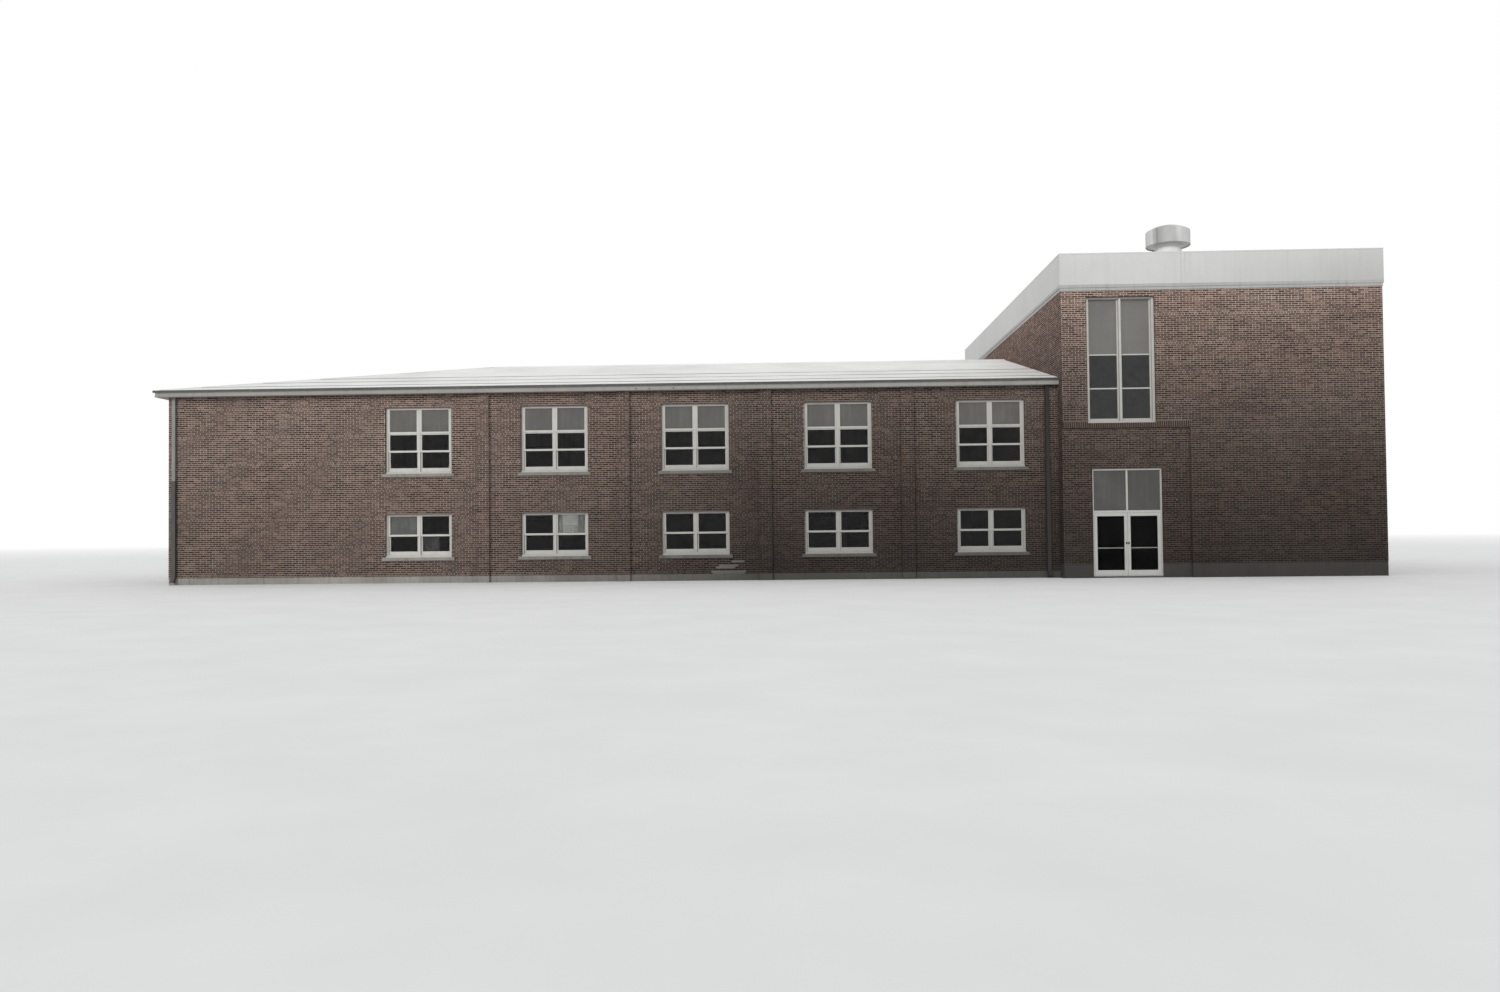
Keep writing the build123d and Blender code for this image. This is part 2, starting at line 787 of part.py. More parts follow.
dome_radius = (vent_hood_radius ** 2 + vent_hood_rise ** 2) / (2 * vent_hood_rise)


def dome_ring(radius):
    """A point on the dome over the hood, made up of rings of sheet, at a distance from its middle."""
    return radius, hood_apex - dome_radius + sqrt(dome_radius ** 2 - radius ** 2)


with BuildPart() as vent_hood:
    with BuildSketch(Plane((vent_x, vent_y, 0), x_dir=(1, 0, 0), z_dir=(0, -1, 0))):
        with BuildLine():
            crown = [dome_ring(radius) for radius in vent_hood_rings]
            Polyline((vent_hood_radius, vent_rim_level), (vent_hood_radius, hood_shoulder), *crown,
                     (0, crown[-1][1]), (0, hood_shoulder - vent_sheet),
                     (vent_hood_radius - vent_sheet, hood_shoulder - vent_sheet),
                     (vent_hood_radius - vent_sheet, vent_rim_level), close=True)
        make_face()
    revolve(axis=Axis((vent_x, vent_y, 0), (0, 0, 1)))
save(vent_hood.part, "vent_hood")
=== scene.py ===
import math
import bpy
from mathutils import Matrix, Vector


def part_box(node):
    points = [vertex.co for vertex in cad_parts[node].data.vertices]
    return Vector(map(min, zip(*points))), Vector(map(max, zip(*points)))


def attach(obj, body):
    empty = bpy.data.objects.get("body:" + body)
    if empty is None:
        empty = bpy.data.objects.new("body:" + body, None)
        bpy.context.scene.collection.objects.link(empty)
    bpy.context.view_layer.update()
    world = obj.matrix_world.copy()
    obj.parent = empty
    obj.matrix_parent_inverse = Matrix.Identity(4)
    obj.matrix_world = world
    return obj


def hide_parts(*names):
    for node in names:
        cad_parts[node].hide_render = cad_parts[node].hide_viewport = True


bl_info = {
    "name": "School Building",
    "version": (1, 0, 0),
    "blender": (4, 5, 0),
    "location": "View3D > Sidebar > School",
    "description": "Dresses the solid frame of a brick school building with its finishes and fine pieces",
    "category": "Add Mesh",
}

import bmesh
import bpy
import numpy as np
from bpy.props import FloatProperty, FloatVectorProperty, IntProperty, PointerProperty
from mathutils import Matrix, Vector

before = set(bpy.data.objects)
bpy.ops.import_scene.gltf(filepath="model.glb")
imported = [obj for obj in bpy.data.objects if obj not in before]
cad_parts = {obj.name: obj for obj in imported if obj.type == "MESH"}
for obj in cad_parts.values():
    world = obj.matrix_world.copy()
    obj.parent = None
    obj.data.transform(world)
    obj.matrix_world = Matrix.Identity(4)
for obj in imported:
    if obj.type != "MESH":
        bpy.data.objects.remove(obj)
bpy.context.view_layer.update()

BODY = "building"
UP = Vector((0, 0, 1))
RIGHTWARD, LEFTWARD = Vector((1, 0, 0)), Vector((-1, 0, 0))
BACKWARD, FORWARD = Vector((0, 1, 0)), Vector((0, -1, 0))
NUMBER, RGB = "NodeSocketFloat", "NodeSocketColor"
SET_IN = 0.001  # how far a fine piece reaches into what carries it

# Places read from the frame
wing_low, wing_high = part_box("wing_foundation")
roof_low, roof_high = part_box("wing_roof_front")
eaves_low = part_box("boxed_eaves")[0]
hall_low, hall_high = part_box("hall_base")
band_low, band_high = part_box("parapet_band")
trim_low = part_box("parapet_trim")[0]
entrance_low, entrance_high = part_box("entrance_frame")


# ---- Settings ----

def length(name, description, default):
    """A length in metres that a user may change."""
    return FloatProperty(name=name, description=description, default=default, unit="LENGTH", precision=4)


def number(name, description, default):
    """A plain number that a user may change."""
    return FloatProperty(name=name, description=description, default=default)


def angle(name, description, degrees):
    """An angle that a user may change."""
    return FloatProperty(name=name, description=description, default=math.radians(degrees), subtype="ANGLE")


def colour(name, description, default):
    """A scene-linear colour that a user may change."""
    return FloatVectorProperty(name=name, description=description, default=default, size=3,
                               subtype="COLOR", min=0, max=1)


class SchoolBrickSettings(bpy.types.PropertyGroup):
    course: length("Wing course", "Height of one course and its joint on the wing", 0.0646)
    hall_course: length("Hall course", "Height of one course and its joint on the hall", 0.0655)
    brick_length: length("Brick length", "Length of a stretcher and its joint", 0.2032)
    joint: length("Joint", "Width of the mortar joints", 0.011)
    proud: length("Stand-out", "How far the bricks stand out from the mortar", 0.005)
    header_every: IntProperty(name="Header course", description="Every so many courses is one of headers",
                              default=7, min=2)
    first_header: IntProperty(name="First header course", description="The wing's first course of headers",
                              default=1, min=0)
    soldier: length("Soldier course", "Height of the bricks on end over the recess", 0.203)
    pilaster_proud: length("Pilaster stand-out", "How far the pilasters stand out from the wing", 0.1)
    sill_bevel: length("Sill bevel", "How much shorter a masonry sill is at its top, at each end", 0.015)
    recess_length: length("Recess length", "Length of the shallow recess round the entrance", 3.95)
    recess_depth: length("Recess depth", "Depth of the recess round the entrance", 0.1)
    recess_top: length("Recess top", "Level of the top of the recess", 4.7)
    dark: colour("Dark brick", "The darkest bricks", (0.018, 0.010, 0.008))
    middle: colour("Common brick", "Most bricks", (0.060, 0.032, 0.025))
    light: colour("Light brick", "The lightest bricks", (0.135, 0.083, 0.065))
    smear: colour("Mortar smear", "Bricks and joints smeared with pale mortar", (0.36, 0.34, 0.31))
    mortar: colour("Mortar", "The joints between the bricks", (0.330, 0.310, 0.276))
    # Painted shade of the walls: darker along the foot from left to right, and lighter towards the band
    painted_shade_left: number("Left shade", "Shade of the walls' foot at the left", 1.05)
    painted_shade_right: number("Right shade", "Shade of the walls' foot at the right", 0.22)
    painted_light_high: number("High shade", "Shade of the walls under the band", 2.1)


class SchoolFinishSettings(bpy.types.PropertyGroup):
    concrete: colour("Concrete", "Base course of the wing", (0.315, 0.306, 0.282))
    hall_concrete: colour("Hall concrete", "Base course of the hall", (0.215, 0.208, 0.192))
    sill: colour("Masonry sill", "Sills under the windows", (0.250, 0.243, 0.226))
    paint: colour("Window paint", "Painted wood of the windows and eaves", (0.47, 0.46, 0.43))
    eaves: colour("Eave paint", "Fascia and soffit boards", (0.27, 0.265, 0.25))
    panel: colour("Infill panel", "Opaque panels in the wing's windows", (0.070, 0.067, 0.063))
    stair_panel: colour("Stair panel", "Opaque panels in the stair windows", (0.130, 0.124, 0.118))
    transom_panel: colour("Transom panel", "Opaque panels over the doors", (0.045, 0.042, 0.040))
    roofing: colour("Roofing", "Pale roofing of the wing", (0.74, 0.74, 0.72))
    # Painted light: the deck is made pale to stand in for the sun falling on it
    membrane_painted_sunlit: colour("Deck membrane", "Flat roof of the hall", (0.70, 0.70, 0.69))
    cladding: colour("Cladding", "Clad band of the parapet", (0.55, 0.55, 0.54))
    trim: colour("Trim", "Stepped trim under the band", (0.36, 0.36, 0.35))
    # Painted shade: dark lines along the lower laps of the roofing, where shade falls under the laps' edges
    lap_shade: colour("Tar", "Tar along the laps of the roofing", (0.16, 0.158, 0.15))
    # Painted shade: the drip edge is near black to stand in for the shade under the roof's edge
    flashing: colour("Flashing", "Drip edge of the wing's roof", (0.036, 0.035, 0.033))
    door: colour("Door paint", "Entrance frame and doors", (0.40, 0.40, 0.38))
    bar: colour("Bar metal", "Push bars and threshold", (0.60, 0.60, 0.58))
    # Painted light: the throat is pale to stand in for light bounced up from the roof
    throat_painted_light: colour("Ventilator throat", "Paler sheet of the ventilator's throat", (0.76, 0.76, 0.75))
    downspout: colour("Downspout metal", "Upper length of the left downspout", (0.22, 0.22, 0.213))
    downspout_low: colour("Heavy pipe", "Heavier lower length of the left downspout", (0.065, 0.063, 0.060))
    downspout_dark: colour("Dark pipe", "The right downspout and the bell box", (0.020, 0.018, 0.017))
    glass: colour("Window glass", "What the front panes let through", (0.86, 0.88, 0.88))
    stair_glass: colour("Stair glass", "What the panes of the stair windows let through", (0.42, 0.44, 0.44))
    # Painted shade: the rear panes let almost nothing through, so the view through the building stays dark
    rear_glass_painted_dark: colour("Rear glass", "What the rear panes let through", (0.0003, 0.0003, 0.0003))
    shade: colour("Shade", "The pale shade inside the second window", (0.47, 0.46, 0.43))
    blind: colour("Blind", "Greyer shade inside the first window", (0.165, 0.160, 0.150))
    drape: colour("Drape", "Curtains beside the shade of the second window", (0.32, 0.312, 0.293))
    curtain: colour("Curtain", "Dark curtain inside the first window", (0.060, 0.058, 0.054))
    # Partly painted shade: drawn rear blinds keep the view through the building dark
    rear_blind_painted_shade: colour("Rear blind", "Blinds drawn over the rear windows, inside", (0.17, 0.165, 0.155))
    # Painted light: the wire is near white to stand in for light bounced up under the hood
    screen: colour("Screen", "Wire of the ventilator's bird screen", (0.93, 0.93, 0.92))
    lock: colour("Lock metal", "Lock plates of the doors", (0.045, 0.044, 0.042))
    lintel: colour("Lintel steel", "Steel angles over the windows", (0.06, 0.052, 0.047))
    soot: colour("Soot", "Dark dirt that weather leaves", (0.030, 0.028, 0.025))
    dust: colour("Dust", "Pale dirt that weather leaves", (0.25, 0.235, 0.205))


class SchoolRoofSettings(bpy.types.PropertyGroup):
    lap_spacing: length("Lap spacing", "Distance between laps of the roofing, across the eave", 1.42)
    first_lap: length("First lap", "Distance of the first lap from the edge of the roof", 0.92)
    lap_height: length("Lap height", "How high a lap's edge stands", 0.012)
    plate_thickness: length("Plate thickness", "Thickness of the roof plates", 0.06)
    # the painted shade lines along the lower laps: their height and how many laps have one
    lap_shade_height: length("Tar line", "Height of the bead of tar along a lap", 0.012)
    lap_shade_lines: IntProperty(name="Tarred laps", description="How many laps from the eave have a tar line",
                           default=3, min=0)
    sheet_length: length("Sheet length", "Distance between the joints of the clad band", 4.72)
    joint_from_left: length("Joint place", "One joint of the band, from the left face of the hall", 3.79)


class SchoolStageSettings(bpy.types.PropertyGroup):
    camera_place: FloatVectorProperty(name="Camera place", description="Where the camera stands",
                                      default=(0.955, -44.304, 1.510), subtype="TRANSLATION", unit="LENGTH")
    yaw: angle("Yaw", "Turn of the camera to the right", -1.864)
    pitch: angle("Pitch", "Tilt of the camera upward", 1.314)
    roll: angle("Roll", "Lean of the camera", -0.5795)
    lens: number("Lens", "Focal length in millimetres on a 36 mm sensor", 26.74)
    shift_y: number("Shift", "Vertical shift of the picture", 0.00777)
    floor_size: length("Floor", "Half the width of the floor", 400.0)
    floor_tone: colour("Floor tone", "Plain pale floor", (0.74, 0.74, 0.735))
    sky_strength: number("Sky", "Strength of the soft light from all round", 0.80)
    sun_strength: number("Key", "Strength of the soft key light", 1.5)


# ---- Node trees ----

def full(rgb):
    """A colour with its alpha."""
    return (*rgb, 1.0)


class Tree:
    """Short calls for putting a node tree together."""

    def __init__(self, tree):
        self.tree = tree

    def node(self, kind, inputs=None, **settings):
        made = self.tree.nodes.new(kind)
        for key, value in settings.items():
            setattr(made, key, value)
        for key, value in (inputs or {}).items():
            self.put(value, made.inputs[key])
        return made

    def put(self, value, socket):
        if isinstance(value, bpy.types.NodeSocket):
            self.tree.links.new(value, socket)
        else:
            socket.default_value = value

    def math(self, operation, *values, clamp=False):
        return self.node("ShaderNodeMath", dict(enumerate(values)), operation=operation,
                         use_clamp=clamp).outputs[0]

    def mix(self, factor, first, second, blend="MIX"):
        """Two colours mixed by a factor."""
        return self.node("ShaderNodeMix", {0: factor, 6: first, 7: second}, data_type="RGBA",
                         blend_type=blend).outputs[2]

    def darkened(self, rgb, shade):
        """A colour times a shade."""
        grey = self.node("ShaderNodeCombineXYZ", {0: shade, 1: shade, 2: shade}).outputs[0]
        return self.mix(1.0, rgb, grey, "MULTIPLY")

    def noise(self, scale, detail, vector, roughness=0.55):
        return self.node("ShaderNodeTexNoise", {"Scale": scale, "Detail": detail, "Roughness": roughness,
                                                "Vector": vector}).outputs["Fac"]

    def between(self, value, low, high, out_low=0.0, out_high=1.0):
        """A value stretched from one range to another and kept inside it."""
        return self.node("ShaderNodeMapRange", {"Value": value, "From Min": low, "From Max": high,
                                                "To Min": out_low, "To Max": out_high}).outputs["Result"]

    def ramp(self, factor, stops):
        """Colours for a factor, from (position, colour) stops in rising order."""
        node = self.node("ShaderNodeValToRGB", {"Fac": factor})
        while len(node.color_ramp.elements) < len(stops):
            node.color_ramp.elements.new(0.5)
        for element, (position, rgb) in zip(node.color_ramp.elements, stops):
            element.position = position
            element.color = full(rgb)
        return node.outputs["Color"]

    def place(self):
        return self.node("ShaderNodeTexCoord").outputs["Object"]

    def parts(self, place):
        """X, Y and Z of a place."""
        return self.node("ShaderNodeSeparateXYZ", {0: place}).outputs

    def colour(self, given):
        """A plain colour, or the one that a function makes in this tree."""
        return given(self) if callable(given) else full(given)

    def surface(self, shader):
        """Close the tree of a material with its shader."""
        self.put(shader.outputs[0], self.node("ShaderNodeOutputMaterial").inputs["Surface"])


def weathering(tree, given, result):
    """Dirt in soft patches, in streaks that run down and in a damp band over the ground."""
    place = tree.place()
    patches = tree.between(tree.noise(given["Patch Scale"], 5.0, place), 0.42, 0.70)
    drawn = tree.node("ShaderNodeVectorMath", {0: place, 1: (5.0, 5.0, 0.28)}, operation="MULTIPLY").outputs[0]
    streaks = tree.between(tree.noise(1.6, 4.0, drawn), 0.50, 0.72)
    ragged = tree.math("MULTIPLY_ADD", tree.noise(1.3, 3.0, place), 0.5, given["Damp Level"])
    damp = tree.math("MULTIPLY", tree.math("SUBTRACT", ragged, tree.parts(place)["Z"]), 2.2, clamp=True)
    loose = tree.math("MULTIPLY_ADD", streaks, given["Streaks"], tree.math("MULTIPLY", patches, 0.6))
    mask = tree.math("MULTIPLY", tree.math("ADD", loose, damp), given["Dirt"], clamp=True)
    tree.put(tree.mix(mask, given["Colour"], given["Dirt Colour"]), result["Colour"])
    tree.put(mask, result["Mask"])


def grain(tree, given, result):
    """Fine and coarse grain of a surface, as a shade and as a height."""
    place = tree.place()
    fine = tree.noise(given["Scale"], 6.0, place, 0.65)
    coarse = tree.noise(given["Coarse Scale"], 3.0, place)
    for label, much, little in (("Shade", 0.5, 0.5), ("Height", 0.8, 0.2)):
        both = tree.math("MULTIPLY_ADD", fine, much, tree.math("MULTIPLY", coarse, little))
        tree.put(both, result[label])


def painted_shade_gradient(tree, given, result):
    """Painted shade of walls and trim, where trees shut off the sky: from Left to Right along the foot, and
    High at the top.
    """
    place = tree.place()
    parts = tree.parts(place)
    foot_shade = tree.between(parts["X"], given["From"], given["To"], given["Left"], given["Right"])
    height = tree.math("SUBTRACT", given["Top"], given["Foot"])
    wander = tree.math("MULTIPLY", tree.math("SUBTRACT", tree.noise(0.35, 3.0, place), 0.5), 0.2)
    share = tree.math("DIVIDE", tree.math("SUBTRACT", parts["Z"], given["Foot"]), height)
    share = tree.math("ADD", share, wander, clamp=True)
    shade = tree.math("MULTIPLY", tree.math("POWER", foot_shade, tree.math("SUBTRACT", 1.0, share)),
                      tree.math("POWER", given["High"], share))
    tree.put(tree.darkened(given["Colour"], shade), result["Colour"])


# The shared node groups: builder, inputs as (name, socket, default), outputs as (name, socket)
GROUPS = {
    "Weathering": (weathering, (
        ("Colour", RGB, (0.5, 0.5, 0.5, 1)), ("Dirt Colour", RGB, (0.1, 0.1, 0.1, 1)), ("Dirt", NUMBER, 0.5),
        ("Patch Scale", NUMBER, 0.5), ("Streaks", NUMBER, 0.3), ("Damp Level", NUMBER, 0.0)),
        (("Colour", RGB), ("Mask", NUMBER))),
    "Grain": (grain, (
        ("Scale", NUMBER, 40.0), ("Coarse Scale", NUMBER, 4.0)), (("Shade", NUMBER), ("Height", NUMBER))),
    # painted shade and light of the walls and trim
    "Painted Shade Gradient": (painted_shade_gradient, (
        ("Colour", RGB, (0.5, 0.5, 0.5, 1)), ("Left", NUMBER, 1.0), ("Right", NUMBER, 0.3),
        ("High", NUMBER, 1.0), ("From", NUMBER, -11.0), ("To", NUMBER, 0.0), ("Foot", NUMBER, 0.0),
        ("Top", NUMBER, 9.0)), (("Colour", RGB),)),
}


def placed(tree, name, **inputs):
    """A shared node group, built at its first use, placed in a tree with its own values."""
    group = bpy.data.node_groups.get(name)
    if group is None:
        build, given, results = GROUPS[name]
        group = bpy.data.node_groups.new(name, "ShaderNodeTree")
        for label, socket, default in given:
            made = group.interface.new_socket(name=label, in_out="INPUT", socket_type=socket)
            made.default_value = default
        for label, socket in results:
            group.interface.new_socket(name=label, in_out="OUTPUT", socket_type=socket)
        inner = Tree(group)
        build(inner, inner.node("NodeGroupInput").outputs, inner.node("NodeGroupOutput").inputs)
    made = tree.node("ShaderNodeGroup", node_tree=group)
    for key, value in inputs.items():
        tree.put(value, made.inputs[key.replace("_", " ").title()])
    return made.outputs


def with_painted_shade(rgb, **ends):
    """A colour for material(), darkened and lightened by the painted shade of the walls, with the given ends.
    """
    return lambda tree: placed(tree, "Painted Shade Gradient", colour=tree.colour(rgb), **ends)["Colour"]


# ---- Materials ----

# The look of each material: its dirt, the spread of its tone, the scales of its fine and coarse grain, the
# amount, patch scale and streaks of the dirt, its roughness and the strength of its bumps
LOOKS = {
    "brick": ("soot", 0.22, 55.0, 2.0, 0.30, 0.35, 0.5, 0.88, 0.5),
    "mortar": ("soot", 0.15, 90.0, 3.0, 0.35, 0.45, 0.5, 0.95, 0.4),
    "concrete": ("soot", 0.16, 45.0, 1.2, 0.40, 0.8, 0.7, 0.92, 0.6),
    "hall_concrete": ("soot", 0.16, 45.0, 1.2, 0.40, 0.8, 0.7, 0.92, 0.6),
    "masonry_sill": ("soot", 0.12, 60.0, 2.5, 0.35, 1.5, 0.8, 0.85, 0.5),
    "painted_wood": ("dust", 0.08, 25.0, 3.0, 0.28, 1.6, 0.6, 0.55, 0.25),
    "infill_panel": ("dust", 0.10, 20.0, 1.6, 0.22, 0.9, 0.6, 0.62, 0.2),
    "stair_panel": ("dust", 0.10, 20.0, 1.6, 0.22, 0.9, 0.6, 0.62, 0.2),
    "transom_panel": ("dust", 0.10, 20.0, 1.6, 0.15, 0.9, 0.4, 0.6, 0.2),
    "lintel_steel": ("soot", 0.12, 30.0, 3.0, 0.4, 0.45, 0.3, 0.7, 0.4),
    "rear_blind_painted_shade": ("soot", 0.10, 60.0, 4.0, 0.1, 2.5, 0.3, 0.9, 0.3),
    "shade_cloth": ("dust", 0.06, 60.0, 5.0, 0.18, 3.0, 0.3, 0.85, 0.3),
    "blind_cloth": ("soot", 0.10, 60.0, 4.0, 0.35, 2.5, 0.3, 0.85, 0.3),
    "drape_cloth": ("soot", 0.10, 60.0, 4.0, 0.35, 2.5, 0.3, 0.85, 0.3),
    "curtain_cloth": ("soot", 0.10, 70.0, 6.0, 0.15, 3.0, 0.2, 0.95, 0.4),
    "roofing": ("dust", 0.08, 30.0, 0.8, 0.30, 0.35, 0.25, 0.9, 0.5),
    "roof_lap_shade": ("dust", 0.2, 20.0, 3.0, 0.35, 0.6, 0.3, 0.7, 0.4),
    "flashing": ("dust", 0.10, 18.0, 3.0, 0.2, 0.45, 0.8, 0.6, 0.15),
    "eave_paint": ("soot", 0.08, 22.0, 2.0, 0.22, 0.8, 0.7, 0.6, 0.25),
    "cladding": ("dust", 0.05, 14.0, 0.6, 0.12, 0.5, 0.9, 0.5, 0.12),
    "cladding_trim": ("soot", 0.06, 20.0, 1.2, 0.25, 0.45, 0.7, 0.55, 0.15),
    "deck_membrane": ("dust", 0.15, 60.0, 0.7, 0.5, 0.3, 0.0, 0.93, 0.5),
    "vent_metal": ("soot", 0.10, 12.0, 2.2, 0.22, 1.5, 0.8, 0.6, 0.12),
    "bird_screen": ("dust", 0.06, 12.0, 3.0, 0.15, 0.45, 0.3, 0.7, 0.2),
    "vent_throat_metal": ("dust", 0.08, 12.0, 2.2, 0.15, 1.5, 0.5, 0.7, 0.12),
    "door_paint": ("dust", 0.06, 18.0, 2.5, 0.30, 1.8, 0.5, 0.42, 0.12),
    "bar_metal": ("soot", 0.08, 30.0, 3.0, 0.3, 0.45, 0.3, 0.4, 0.1),
    "lock_metal": ("dust", 0.10, 30.0, 3.0, 0.15, 0.45, 0.3, 0.4, 0.1),
    "bell_case": ("soot", 0.10, 30.0, 3.0, 0.2, 0.45, 0.3, 0.6, 0.4),
    "bell_button": ("soot", 0.10, 30.0, 3.0, 0.2, 0.45, 0.3, 0.5, 0.4),
    "downspout_metal": ("soot", 0.12, 16.0, 3.0, 0.30, 2.0, 0.6, 0.6, 0.2),
}


def new_material(name):
    """An empty material and its tree."""
    made = bpy.data.materials.new(name)
    made.use_nodes = True
    made.node_tree.nodes.clear()
    return made, Tree(made.node_tree)


def material(name, colour, metallic=0.0, specular=0.5, damp=-2.0, depth=0.002):
    """A weathered material with the look of its name. A function of the tree may make its colour; damp is
    the level that damp rises to, and depth that of the bumps."""
    dirt, spread, fine, coarse, amount, patch, streaks, rough, strength = LOOKS[name]
    made, tree = new_material(name)
    grained = placed(tree, "Grain", scale=fine, coarse_scale=coarse)
    shade = tree.between(grained["Shade"], 0.30, 0.70, 1 - spread, 1 + spread)
    worn = placed(tree, "Weathering", colour=tree.darkened(tree.colour(colour), shade),
                  dirt_colour=full(getattr(bpy.context.scene.school_finish, dirt)), dirt=amount,
                  patch_scale=patch, streaks=streaks, damp_level=damp)
    roughness = tree.between(worn["Mask"], 0.0, 1.0, rough, min(rough + 0.12, 1.0))
    bump = tree.node("ShaderNodeBump", {"Strength": strength, "Distance": depth, "Height": grained["Height"]})
    tree.surface(tree.node("ShaderNodeBsdfPrincipled", {
        "Base Color": worn["Colour"], "Roughness": roughness, "Metallic": metallic,
        "Specular IOR Level": specular, "Normal": bump.outputs[0]}))
    return made


def glass_material(name, tint, roughness, bending):
    """Window glass with a slight waviness. Bending is its index of refraction, which sets how much of the
    pale surroundings it mirrors."""
    made, tree = new_material(name)
    place = tree.place()
    grime = tree.between(tree.noise(2.2, 4.0, place), 0.45, 0.75, 1.0, 0.82)
    wave = tree.node("ShaderNodeBump", {"Strength": 0.05, "Distance": 0.002,
                                        "Height": tree.noise(1.4, 1.0, place)})
    tree.surface(tree.node("ShaderNodeBsdfPrincipled", {
        "Base Color": tree.darkened(full(tint), grime), "Roughness": roughness, "IOR": bending,
        "Transmission Weight": 1.0, "Normal": wave.outputs[0]}))
    return made


def dress(made, *nodes):
    """Give carried-over nodes of the frame a finished material, and pass that on."""
    for node in nodes:
        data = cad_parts[node].data
        data.materials.clear()
        data.materials.append(made)
    return made


# ---- Shapes ----

class Shape:
    """Vertices and faces of one piece while it is put together."""

    def __init__(self):
        self.verts = []
        self.faces = []

    def add(self, verts, faces):
        start = len(self.verts)
        self.verts += [tuple(v) for v in verts]
        self.faces += [[start + i for i in face] for face in faces]

    def block(self, low, high, chamfer=0.0):
        """A block between two corners; a chamfer cuts its vertical and horizontal edges."""
        (x0, y0, z0), (x1, y1, z1), c = low, high, chamfer
        if not chamfer:
            self.tube([[(x0, y0, z), (x1, y0, z), (x1, y1, z), (x0, y1, z)] for z in (z0, z1)])
            return
        rings = []
        for z, inset in ((z0, c), (z0 + c, 0), (z1 - c, 0), (z1, c)):
            a, b, d, e = x0 + inset, x1 - inset, y0 + inset, y1 - inset
            rings.append([(a + c, d, z), (b - c, d, z), (b, d + c, z), (b, e - c, z),
                          (b - c, e, z), (a + c, e, z), (a, e - c, z), (a, d + c, z)])
        self.tube(rings)

    def tube(self, rings, closed=False):
        """Rings of points joined one to the next, capped at both ends or closed round."""
        count = len(rings[0])
        verts = [point for ring in rings for point in ring]
        faces = []
        steps = len(rings) if closed else len(rings) - 1
        for step in range(steps):
            here, there = step * count, (step + 1) % len(rings) * count
            for i in range(count):
                j = (i + 1) % count
                faces.append((here + i, here + j, there + j, there + i))
        if not closed:
            faces.append(tuple(range(count))[::-1])
            faces.append(tuple((len(rings) - 1) * count + i for i in range(count)))
        self.add(verts, faces)

    def lathe(self, centre, profile, segments):
        """A closed profile of (radius, height) turned about the vertical through a point."""
        rings = []
        for step in range(segments):
            turn = 2 * math.pi * step / segments
            rings.append([(centre[0] + r * math.cos(turn), centre[1] + r * math.sin(turn), z)
                          for r, z in profile])
        self.tube(rings, closed=True)

    def knob(self, x, y, z, profile):
        """A profile of (distance forward, radius) turned about a line that points to the front."""
        turns = np.linspace(0, 2 * math.pi, 20, endpoint=False)
        self.tube([[(x + r * math.cos(a), y - out, z + r * math.sin(a)) for a in turns] for out, r in profile])

    def picture_frame(self, low, high, face, out, width):
        """A bead of triangular section round the inside of an upright rectangle, out from its face."""
        x0, x1, z0, z1 = low[0], high[0], low[2], high[2]
        rings = []
        for x, z, sx, sz in ((x0, z0, 1, 1), (x1, z0, -1, 1), (x1, z1, -1, -1), (x0, z1, 1, -1)):
            rings.append([(x, face, z), (x, face + out, z), (x + sx * width, face, z + sz * width)])
        self.tube(rings, closed=True)

    def carry(self, corners, profile, closed=False):
        """A profile of (outward, level) points carried along corners of (x, y, way in x, way in y)."""
        rings = [[(x + sx * out, y + sy * out, z) for out, z in profile] for x, y, sx, sy in corners]
        self.tube(rings, closed)


def make_piece(name, shape, made, body=BODY, instead_of=(), smooth=False, tidy=True):
    """Turn a shape into an object that rides on a body of the frame."""
    mesh = bpy.data.meshes.new(name)
    mesh.from_pydata(shape.verts, [], shape.faces)
    if tidy:
        work = bmesh.new()
        work.from_mesh(mesh)
        bmesh.ops.recalc_face_normals(work, faces=work.faces)
        work.to_mesh(mesh)
        work.free()
    if smooth:
        mesh.shade_smooth()
        mesh.set_sharp_from_angle(angle=math.radians(35))
    mesh.materials.append(made)
    piece = bpy.data.objects.new(name, mesh)
    bpy.context.scene.collection.objects.link(piece)
    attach(piece, body)
    if instead_of:
        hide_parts(*instead_of)
    return piece


def solid_boxes(node):
    """The box of each separate solid in a node of the frame, from left to right and then upward."""
    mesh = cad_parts[node].data
    places = np.array([v.co for v in mesh.vertices]).round(4)
    same, owner = {}, []
    for point in map(tuple, places):
        owner.append(same.setdefault(point, len(same)))
    root = list(range(len(same)))

    def find(i):
        while root[i] != i:
            root[i] = root[root[i]]
            i = root[i]
        return i

    for face in mesh.polygons:
        first = find(owner[face.vertices[0]])
        for vertex in face.vertices[1:]:
            root[find(owner[vertex])] = first
    groups = {}
    for vertex, point in enumerate(places):
        groups.setdefault(find(owner[vertex]), []).append(point)
    boxes = [(np.min(points, 0), np.max(points, 0)) for points in groups.values()]
    return sorted(boxes, key=lambda ends: (round(float(ends[0][0]), 2), float(ends[0][2])))


# ---- Brickwork ----

SHORTEST, LOWEST = 0.015, 0.012  # least length and height of a brick that is laid
PALEST = 0.88  # tone of the lightest bricks without mortar on them
SILL_RISE = 0.026  # how far the wing's sills reach up into the window openings
STAIR_JAMB, DOOR_JAMB = 0.1, 0.06  # depths of brick seen beside the stair windows and the entrance

